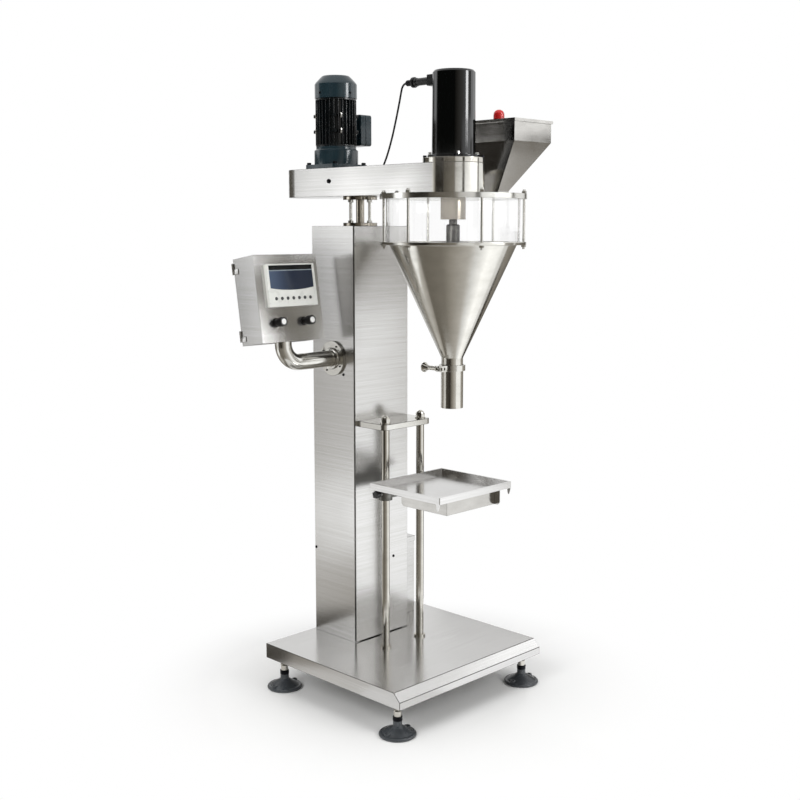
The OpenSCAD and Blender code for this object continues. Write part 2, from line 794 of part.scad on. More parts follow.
// The tall round cover on a foot flange, drawn in slightly towards its top
module servo_cover() {
  t = 2.5;
  top_r = cover_r - 2;
  color(black) translate([0, axis_y, arm_top + flange_t]) rotate_extrude() polygon([
    [cover_r - t, 0], [cover_r + 12, 0], [cover_r + 12, 8], [cover_r, 8], [cover_r - 0.6, 10],
    [top_r, cover_h - 5],
    [top_r - 2, cover_h - 1], [top_r - 5, cover_h], [0, cover_h], [0, cover_h - t],
    [top_r - t - 2, cover_h - t]
  ]);
}

// The coupling, with the servo's output shaft standing in it
module shaft_coupling() {
  z = arm_top + 13;
  color(dark_steel) translate([0, axis_y, z]) difference() {
    union() {
      cylinder(r = 18, h = 16);
      cylinder(r = 14, h = 22);
      translate([0, 0, 20]) cylinder(r = 18, h = 18);
      translate([0, 0, 38]) cylinder(r = servo_shaft_r, h = 25);
    }
    translate([0, 0, -over]) cylinder(r = auger_shaft_r + fit_gap, h = 20 + over);
  }
}

// A helical flight of even thickness round a core
module screw_outline(core, thickness) {
  sweep = 360*thickness/auger_pitch;
  circle(core);
  polygon(concat([[0, 0]], [for (k = [0:3]) auger_r*[cos(sweep*k/3), sin(sweep*k/3)]]));
}

module auger() {
  screw_bottom = outlet_end + 3;
  length = screw_top - screw_bottom;
  color(polished) translate([0, axis_y, 0]) {
    translate([0, 0, screw_top]) cylinder(r = auger_shaft_r, h = auger_top - screw_top);
    translate([0, 0, screw_top]) cylinder(r = auger_shaft_r + 3, h = 12);
    translate([0, 0, screw_bottom]) linear_extrude(length, twist = -360*length/auger_pitch,
      slices = ceil(length/auger_pitch*24), $fn = 20) screw_outline(auger_shaft_r, 4);
  }
}

// Hopper

// Holes for the tie rods, through a plate from z up
module tie_holes(z, h) for (a = tie_angles) rotate(a) translate([tie_circle, 0, z - over])
  cylinder(r = tie_r + gap, h = h + 2*over);

module hopper_lid() color(steel) translate([0, axis_y, 0]) difference() {
  union() {
    translate([0, 0, lid_bottom]) cylinder(r = lid_r, h = lid_t);
  }
  translate([0, 0, lid_bottom - over]) cylinder(r = sleeve_out_r + gap, h = lid_t + 2*over);
  block([throat_x[0] + funnel_wall, throat_y[0] + funnel_wall, lid_bottom - over],
    [throat_x[1] - funnel_wall, throat_y[1] - funnel_wall, lid_top + over]);
  tie_holes(lid_bottom, lid_t);
}

module hopper_window() color("#dfe8ea", 0.35) translate([0, axis_y, 0])
  ring(window_r, window_r - window_wall, window_bottom, window_h);

// Ring, cone, neck and ferrule in one welded piece
module hopper_cone() color(polished) translate([0, axis_y, 0]) difference() {
  rotate_extrude() polygon([
    [lid_r, window_bottom], [lid_r, ring_bottom], [cone_top_r, ring_bottom],
    [neck_r, cone_bottom], [neck_r, ferrule_z + ferrule_t], [ferrule_r, ferrule_z + ferrule_t],
    [ferrule_r, ferrule_z], [outlet_bore_r, ferrule_z], [outlet_bore_r, cone_bottom],
    [cone_top_r - wall_across, ring_bottom], [cone_top_r - wall_across, window_bottom]
  ]);
  tie_holes(ring_bottom, ring_t);
}

// Whether the arm covers the tie rod at angle a, which then ends flush in the lid
function under_arm(a) = sin(a) > 0 && abs(tie_circle*cos(a)) < arm_r + 9;

// Six rods with a nut under the ring and a domed nut on the lid
module tie_rods() color(steel) translate([0, axis_y, 0])
  for (a = tie_angles) rotate(a) translate([tie_circle, 0, 0]) {
    translate([0, 0, ring_bottom - 12])
      cylinder(r = tie_r, h = lid_top - ring_bottom + (under_arm(a) ? 11 : 20));
    nut(7, ring_bottom - 6, 6);
    if (!under_arm(a)) {
      nut(7, lid_top, 7);
      translate([0, 0, lid_top + 7]) cylinder(r1 = 6, r2 = 4, h = 5);
    }
  }

// Outlet

// The tube under the clamp, 0.6 mm thicker up to a shoulder just below the clamp
module outlet_tube() {
  shoulder = ferrule_z - clamp_half_h - 1;
  color(polished) translate([0, axis_y, 0]) rotate_extrude() polygon([
    [ferrule_r, ferrule_z], [ferrule_r, ferrule_z - ferrule_t],
    [outlet_r + 0.6, ferrule_z - ferrule_t], [outlet_r + 0.6, shoulder], [outlet_r, shoulder],
    [outlet_r, outlet_end + 1], [outlet_r - 1, outlet_end], [outlet_bore_r, outlet_end],
    [outlet_bore_r, ferrule_z]
  ]);
}

// Half of the clamp's band, from angle a
module clamp_half(a) {
  lip = ferrule_t + gap;
  inner = ferrule_r - 1.3;
  rotate(a + 2) rotate_extrude(angle = 176) polygon([
    [clamp_r, ferrule_z - clamp_half_h], [clamp_r, ferrule_z + clamp_half_h],
    [inner, ferrule_z + clamp_half_h], [inner, ferrule_z + lip],
    [ferrule_r + seam, ferrule_z + lip], [ferrule_r + seam, ferrule_z - lip],
    [inner, ferrule_z - lip], [inner, ferrule_z - clamp_half_h]
  ]);
}

// An ear of the clamp beside the parting plane, forked for the bolt
module clamp_ear(side) difference() {
  block([clamp_bolt_x - 7, side > 0 ? 2 : -14, ferrule_z - clamp_half_h],
    [-clamp_r + 3, side > 0 ? 10 : -2, ferrule_z + clamp_half_h]);
  block([clamp_bolt_x - 8, -20, ferrule_z - clamp_bolt_r - gap],
    [clamp_bolt_x + clamp_bolt_r + gap + (side > 0 ? 0 : 4), 20, ferrule_z + clamp_bolt_r + gap]);
}

// Two halves with ears, hinged together at the right, and the swing bolt on its pin
module outlet_clamp() color(polished) translate([0, axis_y, 0]) {
  clamp_half(180);
  clamp_ear(-1);
  clamp_half(0);
  clamp_ear(1);
  translate([clamp_r + 3, 0, ferrule_z - clamp_half_h]) cylinder(r = 4.5, h = 2*clamp_half_h);
  translate([clamp_r - 2, -4, ferrule_z - 5]) cube([5, 8, 10]);
  translate([clamp_bolt_x, 0, ferrule_z]) {
    rotate([-90, 0, 0]) translate([0, 0, -8]) cylinder(r = clamp_bolt_r, h = 48);
    translate([0, -8, -clamp_bolt_r]) cylinder(r = 6.5, h = 2*clamp_bolt_r);
    translate([0, -8, -clamp_half_h]) cylinder(r = 3, h = 2*clamp_half_h);
  }
}

// The flared thumb nut on the swing bolt
module thumb_nut() color(polished) translate([clamp_bolt_x, axis_y, ferrule_z]) rotate([-90, 0, 0])
  translate([0, 0, 10 + gap]) rotate_extrude() polygon([
    [clamp_bolt_r + gap, 0], [8, 0], [8, 6], [6.5, 8], [6.5, 34], [8, 40], [11, 46], [15, 51],
    [15, 54], [0, 52], [0, 32], [clamp_bolt_r + gap, 32]
  ]);

// Feed funnel and level sensor

// A tapering block between a throat and the mouth band, drawn in by t
module funnel_block(t, low, high) {
  hull() {
    block([mouth_x[0] + t, mouth_y[0] + t, mouth_top - mouth_band],
      [mouth_x[1] - t, mouth_y[1] - t, mouth_top - mouth_band + 0.1]);
    block([throat_x[0] + t, throat_y[0] + t, throat_z - 0.1],
      [throat_x[1] - t, throat_y[1] - t, throat_z]);
  }
  block([mouth_x[0] + t, mouth_y[0] + t, mouth_top - mouth_band],
    [mouth_x[1] - t, mouth_y[1] - t, high]);
  block([throat_x[0] + t, throat_y[0] + t, low], [throat_x[1] - t, throat_y[1] - t, throat_z]);
}

// Rectangular funnel that leans out to the right, with a hemmed rim and a foot flange
module feed_funnel() {
  rim = 4;
  color(steel) translate([0, axis_y, 0]) difference() {
    union() {
      funnel_block(0, lid_top, mouth_top);
      block([mouth_x[0] - rim, mouth_y[0] - rim, mouth_top - 9],
        [mouth_x[1] + rim, mouth_y[1] + rim, mouth_top]);
      block([throat_x[0] - 6, throat_y[0] - 8, lid_top], [throat_x[1] + 3, throat_y[1] + 8, lid_top + 3]);
    }
    funnel_block(funnel_wall, lid_top - over, mouth_top + over);
  }
}

// The sensor hung in the funnel's mouth from a bracket on its rear wall
module level_sensor() {
  wall_y = mouth_y[1] - funnel_wall;
  color("#c01818") translate([sensor_x, axis_y + sensor_y, 0]) {
    translate([0, 0, mouth_top - 75]) cylinder(r = sensor_r, h = 83);
    translate([0, 0, mouth_top + 8]) cylinder(r = sensor_r + 3, h = 12);
    translate([0, 0, mouth_top + 20]) intersection() {
      sphere(r = sensor_r + 3);
      cylinder(r = sensor_r + 4, h = 40);
    }
    block([-12, 0, mouth_top - 30], [12, wall_y - sensor_y, mouth_top - 25]);
  }
}

// Control box and its pipe

// A run of radius r along the pipe's line, e longer at both ends
module pipe_run(r, e) {
  translate([-column_w/2 + e, 0, pipe_z]) rotate([0, -90, 0])
    cylinder(r = r, h = pipe_reach - elbow_r + e);
  translate([box_x + elbow_r, 0, pipe_z + elbow_r]) rotate([90, 0, 0]) rotate([0, 0, 180])
    rotate_extrude(angle = 90) translate([elbow_r, 0]) circle(r);
  translate([box_x, 0, pipe_z + elbow_r]) cylinder(r = r, h = 26 + e);
}

// The tube that carries the box, with its flange on the column
module control_pipe() color(polished) translate([0, column_y, 0]) difference() {
  union() {
    translate([-column_w/2, 0, pipe_z]) rotate([0, -90, 0]) {
      cylinder(r = 55, h = 8);
      cylinder(r = pipe_r + 8, h = 15);
    }
    pipe_run(pipe_r, 0);
  }
  pipe_run(pipe_r - 2, over);
}

// Places what follows in the control box's own leaning frame
module on_box() translate([box_x, box_y, box_z]) rotate([-box_tilt, 0, 0]) children();

// Turns a flat shape to stand in the box's front plane, drawn in X and Z
module upright(y, t) translate([0, y + t, 0]) rotate([90, 0, 0]) linear_extrude(t) children();

module control_box() color(steel) difference() {
  on_box() {
    difference() {
      block([-box_w/2, box_front, 0], [box_w/2, box_d/2 - door_t, box_h]);
      block([-box_w/2 + box_sheet, box_front + box_sheet, box_sheet],
        [box_w/2 - box_sheet, box_d/2 + over, box_h - box_sheet]);
      upright(box_front - over, box_sheet + 2*over) translate([bezel_x, bezel_z])
        square([bezel_w - 30, bezel_h - 30], center = true);
      for (x = [knob_left_x, knob_right_x]) translate([x, box_front - over, knob_z])
        rotate([-90, 0, 0]) cylinder(r = 5 + gap, h = box_sheet + 2*over);
    }
    for (z = hinge_z) {
      block([-box_w/2 - 2, box_d/2 - 22, z], [-box_w/2, hinge_y, z + 16]);
      translate([hinge_x, hinge_y, z]) {
        cylinder(r = hinge_r, h = 16);
        cylinder(r = hinge_pin_r, h = 34);
      }
    }
  }
  translate([box_x, column_y, box_z - 60]) cylinder(r = pipe_r + gap, h = 100);
}

module rear_door() color(steel) on_box() difference() {
  union() {
    block([-box_w/2 + 0.5, door_in, 0], [box_w/2, door_in + door_t, box_h]);
    difference() {
      block([-box_w/2 + 7, door_in - 10, 7], [box_w/2 - 7, door_in + 1, box_h - 7]);
      block([-box_w/2 + 9, door_in - 11, 9], [box_w/2 - 9, door_in + 2, box_h - 9]);
    }
    for (z = hinge_z) translate([0, 0, z + 16 + gap]) {
      block([hinge_x, hinge_y, 0], [hinge_x + 26, hinge_y + 2, 16]);
      translate([hinge_x, hinge_y, 0]) cylinder(r = hinge_r, h = 16);
    }
  }
  for (z = hinge_z) translate([hinge_x, hinge_y, z]) cylinder(r = hinge_pin_r + fit_gap, h = 60);
}

// Screen outline: a rectangle whose lower edge bows down
module screen_outline(shrink) {
  r = (screen_w*screen_w/4 + screen_bow*screen_bow)/(2*screen_bow);
  intersection() {
    translate([bezel_x, screen_z]) square([screen_w - 2*shrink, screen_h - 2*shrink], center = true);
    translate([bezel_x, screen_z - screen_h/2 + r]) circle(r - shrink, $fn = 360);
  }
}

module hmi_bezel() color(ivory) on_box() difference() {
  union() {
    upright(box_front - bezel_t, bezel_t) translate([bezel_x, bezel_z]) rounded(bezel_w, bezel_h, 3);
    upright(box_front - over, 30) translate([bezel_x, bezel_z]) square([bezel_w - 34, bezel_h - 34], center = true);
  }
  upright(box_front - bezel_t - over, 1.5 + over) screen_outline(0);
  for (k = [-3:3]) translate([bezel_x + k*key_pitch, box_front - bezel_t - over, key_z])
    rotate([-90, 0, 0]) cylinder(r = key_r + gap, h = 6 + over);
}

module hmi_screen() color(screen_blue) on_box()
  upright(box_front - bezel_t, 1.5) screen_outline(0.2);

module key(k) color(black) on_box()
  translate([bezel_x + (k - 4)*key_pitch, box_front - bezel_t - 1.2, key_z])
    rotate([-90, 0, 0]) {
      cylinder(r1 = key_r - 0.5, r2 = key_r, h = 0.5);
      translate([0, 0, 0.5]) cylinder(r = key_r, h = 5);
    }

module key_1() key(1);
module key_2() key(2);
module key_3() key(3);
module key_4() key(4);
module key_5() key(5);
module key_6() key(6);
module key_7() key(7);

// A round knob on a shaft through the panel
module knob(x) color(black) on_box() translate([x, box_front, knob_z]) rotate([90, 0, 0]) {
  translate([0, 0, -14]) cylinder(r = 5 - gap, h = 18);
  translate([0, 0, gap]) cylinder(r = knob_r - 3, h = 5);
  translate([0, 0, 9]) cylinder(r = knob_r, h = 19);
  translate([0, 0, 4]) cylinder(r = knob_r - 5, h = 6);
  translate([0, 0, 28]) cylinder(r1 = knob_r, r2 = knob_r - 1, h = 1);
  translate([0, 0, 29]) cylinder(r = knob_r - 2.5, h = 0.8);
}

module knob_left() knob(knob_left_x);
module knob_right() knob(knob_right_x);

// Servo cable

function unit(v) = v/norm(v);
function heading(p, i) = unit(p[min(i + 1, len(p) - 1)] - p[max(i - 1, 0)]);

// A tube swept along points that lie in the plane x = 0
module swept(points, r, sides) {
  n = len(points);
  verts = [for (i = [0:n - 1]) let(h = i == 0 ? [0, 1, 0] : i == n - 1 ? [0, 0, -1] : heading(points, i),
    side = [1, 0, 0], up = cross(h, side)) for (k = [0:sides - 1])
    points[i] + r*(cos(360*k/sides)*side + sin(360*k/sides)*up)];
  polyhedron(verts, concat([[for (k = [sides - 1:-1:0]) k]],
    [[for (k = [0:sides - 1]) (n - 1)*sides + k]],
    [for (i = [0:n - 2], k = [0:sides - 1]) [i*sides + k, i*sides + (k + 1)%sides,
      (i + 1)*sides + (k + 1)%sides, (i + 1)*sides + k]]));
}

module servo_cable() color(black) swept(cable_route, cable_r, 8);

// The plug on the cover and the grommet in the arm's top
module cable_fittings() color(black) {
  translate([0, plug_y, plug_z]) rotate([-90, 0, 0]) {
    difference() {
      translate([0, 0, 12]) linear_extrude(34, center = true) rounded(32, 32, 3);
      translate([0, 0, -plug_y + axis_y]) rotate([90, 0, 0])
        cylinder(r = cover_r - 1, h = 60, center = true);
    }
    translate([0, 0, 28]) cylinder(r = 11, h = 54);
    translate([0, 0, 80]) cylinder(r = 12, h = 12);
    translate([0, 0, 92]) cylinder(r = 15.5, h = 7);
    translate([0, 0, 99]) cylinder(r1 = 9, r2 = 6, h = 28);
  }
  translate([0, cable_foot_y, arm_top]) cylinder(r = 9, h = 6);
}

base_cover();
base_frame();
foot_front_left();
foot_front_right();
foot_rear_left();
foot_rear_right();
column_shell();
column_front();
side_cabinet();
guide_rods();
rod_bracket();
carriage();
tray_bracket();
tray();
clamp_knob();
spacer_post();
post_studs();
arm_housing();
arm_bottom_cover();
motor_endshield();
motor_body();
motor_fan_cover();
terminal_box();
motor_rotor();
drive_pulley();
drive_belt();
driven_pulley();
agitator();
head_bearings();
bearing_sleeve();
head_flange();
servo_motor();
servo_cover();
auger();
shaft_coupling();
hopper_lid();
hopper_window();
hopper_cone();
tie_rods();
outlet_tube();
outlet_clamp();
thumb_nut();
feed_funnel();
level_sensor();
control_pipe();
control_box();
rear_door();
hmi_bezel();
hmi_screen();
key_1();
key_2();
key_3();
key_4();
key_5();
key_6();
key_7();
knob_left();
knob_right();
servo_cable();
cable_fittings();
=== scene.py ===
"""Looks of a floor-standing auger filler: finishes, small fasteners, the servo cable and a white studio."""

import json
import logging
import math
from abc import ABC, abstractmethod
from dataclasses import dataclass
from enum import Enum
from typing import ClassVar, Iterable, Sequence

import bmesh
import bpy
from mathutils import Matrix, Vector

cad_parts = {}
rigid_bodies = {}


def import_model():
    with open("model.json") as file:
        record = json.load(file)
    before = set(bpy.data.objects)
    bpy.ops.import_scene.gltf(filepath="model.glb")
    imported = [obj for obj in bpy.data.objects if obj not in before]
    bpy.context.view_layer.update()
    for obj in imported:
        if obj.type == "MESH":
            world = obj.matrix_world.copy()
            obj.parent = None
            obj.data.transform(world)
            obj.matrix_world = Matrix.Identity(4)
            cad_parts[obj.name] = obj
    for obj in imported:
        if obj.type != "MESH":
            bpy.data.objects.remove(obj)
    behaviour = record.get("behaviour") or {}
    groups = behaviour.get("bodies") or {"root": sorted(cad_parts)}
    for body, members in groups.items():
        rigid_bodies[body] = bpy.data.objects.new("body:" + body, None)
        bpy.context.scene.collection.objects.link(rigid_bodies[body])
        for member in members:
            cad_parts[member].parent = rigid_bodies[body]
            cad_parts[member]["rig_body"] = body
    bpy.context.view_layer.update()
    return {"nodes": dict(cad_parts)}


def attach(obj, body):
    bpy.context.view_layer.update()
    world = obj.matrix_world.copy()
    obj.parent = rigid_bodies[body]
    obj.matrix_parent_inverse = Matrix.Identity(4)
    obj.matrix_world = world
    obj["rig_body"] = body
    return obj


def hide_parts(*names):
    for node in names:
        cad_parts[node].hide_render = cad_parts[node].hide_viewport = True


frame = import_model()

LOG = logging.getLogger("filler")
MM = 0.001
FRAME_BODY = "machine_frame"

# Faces round a turned piece, points in each of its fillets, and how far welded corners lie apart.
ROUND = 96
FILLET_STEPS = 4
WELD_M = 2e-6

# Areas this flat become one face, and edges this sharp are rounded.
FLAT_DEG = 0.4
BEVEL_DEG = 32.0

# Edges this sharp stay crisp: on copies of CAD nodes, turned pieces, small parts and their repeats.
CRISP_DEG = 35.0
TURNED_CRISP_DEG = 50.0
SMALL_CRISP_DEG = 30.0
REPEAT_CRISP_DEG = 40.0

Point2 = tuple[float, float]
Point3 = tuple[float, float, float]
Piece = bpy.types.Object
Tree = bpy.types.NodeTree
Socket = bpy.types.NodeSocket

UP: Point3 = (0.0, 0.0, 1.0)
LEFT: Point3 = (-1.0, 0.0, 0.0)
RIGHT: Point3 = (1.0, 0.0, 0.0)


class Grain(Enum):
    """The direction in which a sheet was brushed, as the stretch of its pattern along X, Y and Z."""

    LEVEL = (0.008, 0.008, 1.0)
    ALONG_X = (0.008, 1.0, 1.0)


def linear(colour: str) -> tuple[float, float, float, float]:
    """Turns an sRGB hex colour, such as "c4c4c0", into the linear one that a shader takes."""
    parts = [int(colour[i : i + 2], 16) / 255 for i in (0, 2, 4)]
    r, g, b = [p / 12.92 if p <= 0.04045 else ((p + 0.055) / 1.055) ** 2.4 for p in parts]
    return (r, g, b, 1.0)


def emptied(owner: bpy.types.Material | bpy.types.World) -> Tree:
    """Returns the empty node tree of a new material or world."""
    owner.use_nodes = True
    owner.node_tree.nodes.clear()
    return owner.node_tree


def add(
    tree: Tree, kind: str, inputs: dict[str | int, object] | None = None, **settings: object
) -> bpy.types.Node:
    """Adds one node.

    Args:
        tree: The node tree that takes the node.
        kind: The node's type.
        inputs: For an input's name or index, its value or the socket that is linked to it.
        **settings: Properties of the node itself.

    Returns:
        The new node.
    """
    node = tree.nodes.new(kind)
    for name, value in settings.items():
        setattr(node, name, value)
    for key, value in (inputs or {}).items():
        if isinstance(value, Socket):
            tree.links.new(value, node.inputs[key])
        else:
            node.inputs[key].default_value = value
    return node


def calc(
    tree: Tree, operation: str, first: object, second: object = 0.0, **settings: object
) -> Socket:
    """Adds one step of arithmetic on two values or sockets."""
    return add(tree, "ShaderNodeMath", {0: first, 1: second}, operation=operation, **settings).outputs[0]


def remap(
    tree: Tree, source: Socket, given: Point2, wanted: Point2, **settings: object
) -> Socket:
    """Maps a given range of a value onto the wanted one."""
    inputs = {"Value": source, "From Min": given[0], "From Max": given[1]}
    inputs |= {"To Min": wanted[0], "To Max": wanted[1]}
    return add(tree, "ShaderNodeMapRange", inputs, **settings).outputs[0]


def blend(tree: Tree, factor: Socket, first: object, second: object) -> Socket:
    """Mixes two colours by a factor from zero to one."""
    return add(tree, "ShaderNodeMix", {0: factor, 6: first, 7: second}, data_type="RGBA").outputs[2]


def noise(
    tree: Tree,
    size_mm: float,
    stretch: Point3 = (1.0, 1.0, 1.0),
    detail: float = 3.0,
    roughness: float = 0.6,
    place: Socket | None = None,
) -> Socket:
    """Adds noise.

    Args:
        tree: The material's tree.
        size_mm: The size of the pattern's features.
        stretch: How much of the pattern's scale applies along X, Y and Z.
        detail: Octaves of the noise.
        roughness: How strong the finer octaves are.
        place: The coordinates, or none for the piece's own ones.

    Returns:
        The socket of the noise's value.
    """
    if place is None:
        place = add(tree, "ShaderNodeTexCoord").outputs["Object"]
    scale = tuple(s / (size_mm * MM) for s in stretch)
    mapped = add(tree, "ShaderNodeMapping", {"Vector": place, "Scale": scale}).outputs[0]
    inputs = {"Vector": mapped, "Scale": 1.0, "Detail": detail, "Roughness": roughness}
    return add(tree, "ShaderNodeTexNoise", inputs).outputs["Fac"]


def spread(tree: Tree, source: Socket, low: float, high: float) -> Socket:
    """Maps the middle of a noise value's range onto low to high."""
    return remap(tree, source, (0.3, 0.7), (low, high))


def tint(tree: Tree, source: Socket, first: str, second: str) -> Socket:
    """Mixes two hex colours by a noise value."""
    return blend(tree, spread(tree, source, 0.0, 1.0), linear(first), linear(second))


def bump(tree: Tree, *layers: tuple[Socket, float]) -> Socket:
    """Stacks bump layers, each a height socket and its depth in millimetres, and returns the normal."""
    inputs: dict[str | int, object] = {}
    for height, depth_mm in layers:
        inputs |= {"Strength": 1.0, "Distance": depth_mm * MM, "Height": height}
        inputs = {"Normal": add(tree, "ShaderNodeBump", inputs).outputs[0]}
    return inputs["Normal"]


@dataclass(frozen=True)
class Finish(ABC):
    """A surface finish, which builds its material once.

    Args:
        name: The material's name.
        slot: The CAD material that it stands for; not used.
        colour: The base colour, as sRGB hex digits.
    """

    name: str
    slot: str
    colour: str

    @abstractmethod
    def inputs(self, tree: Tree) -> dict[str, object]:
        """Adds the pattern's nodes and returns what goes into the shader's sockets."""

    def material(self) -> bpy.types.Material:
        """Returns the finish's material, which is built at the first call."""
        found = bpy.data.materials.get(self.name)
        if found:
            return found
        made = bpy.data.materials.new(self.name)
        tree = emptied(made)
        inputs = {"Base Color": linear(self.colour), **self.inputs(tree)}
        shader = add(tree, "ShaderNodeBsdfPrincipled", inputs)
        add(tree, "ShaderNodeOutputMaterial", {"Surface": shader.outputs[0]})
        made.diffuse_color = linear(self.colour)
        return made


@dataclass(frozen=True)
class BrushedStainless(Finish):
    """Stainless sheet, number 4 finish: belt-brushed one way, so it has fine lines.

    The real lines are about 0.1 mm apart; they are drawn 1 mm and 2.4 mm wide so that they show.

    Args:
        shade: The second colour, in the broad lines.
        roughness: The middle of its range.
        grain: The way that it was brushed.
    """

    shade: str
    roughness: float
    grain: Grain = Grain.LEVEL

    def lines(self, tree: Tree, size_mm: float, detail: float) -> Socket:
        """Adds noise drawn out along the grain, and along Y on faces that look along X."""
        place = add(tree, "ShaderNodeTexCoord").outputs["Object"]
        normal = add(tree, "ShaderNodeNewGeometry").outputs["Normal"]
        sideways = calc(tree, "ABSOLUTE", add(tree, "ShaderNodeSeparateXYZ", {0: normal}).outputs[0])
        across_y = remap(tree, sideways, (0.6, 0.8), (1.0, 0.008))
        turn = add(tree, "ShaderNodeCombineXYZ", {0: 1.0, 1: across_y, 2: 1.0}).outputs[0]
        turned = add(tree, "ShaderNodeVectorMath", {0: place, 1: turn}, operation="MULTIPLY")
        return noise(tree, size_mm, self.grain.value, detail, 0.55, turned.outputs[0])

    def inputs(self, tree: Tree) -> dict[str, object]:
        """Gives a metal with lines in its colour and gloss, and wide clouds in its gloss."""
        fine = self.lines(tree, 1.0, 1.0)
        broad = self.lines(tree, 2.4, 2.0)
        cloud = noise(tree, 220.0, detail=1.0)
        streaks = spread(tree, fine, self.roughness - 0.01, self.roughness + 0.01)
        return {
            "Base Color": tint(tree, broad, self.colour, self.shade),
            "Roughness": calc(tree, "ADD", streaks, spread(tree, cloud, -0.03, 0.03)),
            "Metallic": 1.0,
        }


@dataclass(frozen=True)
class PolishedStainless(Finish):
    """Turned or spun stainless, buffed bright: clear reflections with faint waves and wipe marks.

    Args:
        shade: The second colour, in the wipe marks.
        roughness: The middle of its range.
        waviness_mm: The height of the waves.
    """

    shade: str
    roughness: float
    waviness_mm: float

    def inputs(self, tree: Tree) -> dict[str, object]:
        """Gives a bright metal with faint rings, wipe marks and waves."""
        rings = noise(tree, 1.5, (0.01, 0.01, 1.0), 2.0)
        wipes = noise(tree, 38.0, (0.5, 0.5, 1.0), 4.0)
        waves = noise(tree, 130.0, detail=1.0)
        gloss = spread(tree, rings, self.roughness - 0.02, self.roughness + 0.03)
        marks = spread(tree, wipes, -0.03, 0.04)
        return {
            "Base Color": tint(tree, wipes, self.colour, self.shade),
            "Roughness": calc(tree, "ADD", gloss, marks, use_clamp=True),
            "Metallic": 1.0,
            "Normal": bump(tree, (rings, 0.0008), (waves, self.waviness_mm)),
        }


@dataclass(frozen=True)
class Mottled(Finish):
    """A surface with soft patches in its colour and gloss, over a fine grain in its height.

    Args:
        shade: The patches' colour.
        roughness: The middle of its range.
        grain_mm: The size of the grain.
        depth_mm: The depth of the grain.
    """

    shade: str
    roughness: float
    grain_mm: float = 1.0
    depth_mm: float = 0.01

    patch_mm: ClassVar[float] = 30.0
    patch_detail: ClassVar[float] = 4.0
    grain_detail: ClassVar[float] = 2.0
    swing: ClassVar[Point2] = (-0.05, 0.05)
    metallic: ClassVar[float] = 0.0

    def inputs(self, tree: Tree) -> dict[str, object]:
        """Gives the patches and the grain."""
        patches = noise(tree, self.patch_mm, detail=self.patch_detail)
        grain = noise(tree, self.grain_mm, detail=self.grain_detail)
        low, high = (self.roughness + s for s in self.swing)
        return {
            "Base Color": tint(tree, patches, self.colour, self.shade),
            "Roughness": spread(tree, patches, low, high),
            "Metallic": self.metallic,
            "IOR": 1.5,
            "Normal": bump(tree, (grain, self.depth_mm)),
        }


@dataclass(frozen=True)
class DullSteel(Mottled):
    """Plain steel as cast, sawn or plated: slightly mottled and only half bright."""

    grain_mm: float = 1.6
    depth_mm: float = 0.02
    patch_mm: ClassVar[float] = 14.0
    grain_detail: ClassVar[float] = 3.0
    swing: ClassVar[Point2] = (-0.08, 0.1)
    metallic: ClassVar[float] = 1.0


@dataclass(frozen=True)
class SprayedEnamel(Mottled):
    """Machine enamel sprayed on cast or pressed metal: dust in its colour over a fine orange peel."""

    grain_mm: float = 2.4
    depth_mm: float = 0.05
    patch_mm: ClassVar[float] = 45.0
    swing: ClassVar[Point2] = (-0.05, 0.09)


@dataclass(frozen=True)
class MouldedPlastic(Mottled):
    """ABS, nylon or rubber from a textured mould: slight handling marks over a soft grain."""

    grain_mm: float = 1.3
    depth_mm: float = 0.03
    patch_detail: ClassVar[float] = 3.0
    swing: ClassVar[Point2] = (-0.06, 0.08)


@dataclass(frozen=True)
class PianoLacquer(Finish):
    """Black lacquer on the servo's tube: a deep gloss with a few faint wipe marks."""

    def inputs(self, tree: Tree) -> dict[str, object]:
        """Gives a dark gloss with wipe marks and long waves."""
        wipes = noise(tree, 60.0, (0.4, 0.4, 1.0), 4.0)
        waves = noise(tree, 90.0, detail=1.0)
        gloss = spread(tree, wipes, 0.05, 0.09)
        return {"Roughness": gloss, "IOR": 1.52, "Normal": bump(tree, (waves, 0.06))}


@dataclass(frozen=True)
class CastAcrylic(Finish):
    """A ring of cast acrylic, polished: clear, with slightly hazy places."""

    def inputs(self, tree: Tree) -> dict[str, object]:
        """Gives a clear plastic with a little haze."""
        haze = spread(tree, noise(tree, 55.0, detail=3.0), 0.0, 0.035)
        return {"Roughness": haze, "IOR": 1.49, "Transmission Weight": 1.0}


@dataclass(frozen=True)
class DisplayFilm(Finish):
    """A dark blue display under a glossy film, drawn in the piece's own UV map.

    Args:
        glow: The colour at its left edge.
        line: The colour of the thin line.
        band: The colour of the band above the line.
    """

    glow: str = "55637a"
    line: str = "8f9aa0"
    band: str = "0d1215"

    def inputs(self, tree: Tree) -> dict[str, object]:
        """Gives a blue field that is lighter at the left, under a thin light line and a dark band."""
        place = add(tree, "ShaderNodeTexCoord").outputs["UV"]
        across, up, _ = add(tree, "ShaderNodeSeparateXYZ", {0: place}).outputs
        fade = remap(tree, across, (0.0, 0.55), (0.75, 0.0), interpolation_type="SMOOTHSTEP")
        colour = blend(tree, fade, linear(self.colour), linear(self.glow))
        for low, high, shade in ((0.775, 0.81, self.line), (0.81, 1.1, self.band)):
            above = calc(tree, "GREATER_THAN", up, low)
            below = calc(tree, "LESS_THAN", up, high)
            colour = blend(tree, calc(tree, "MULTIPLY", above, below), colour, linear(shade))
        smear = spread(tree, noise(tree, 40.0, detail=3.0), 0.08, 0.16)
        return {"Base Color": colour, "Roughness": smear, "IOR": 1.5, "Coat Weight": 0.5}
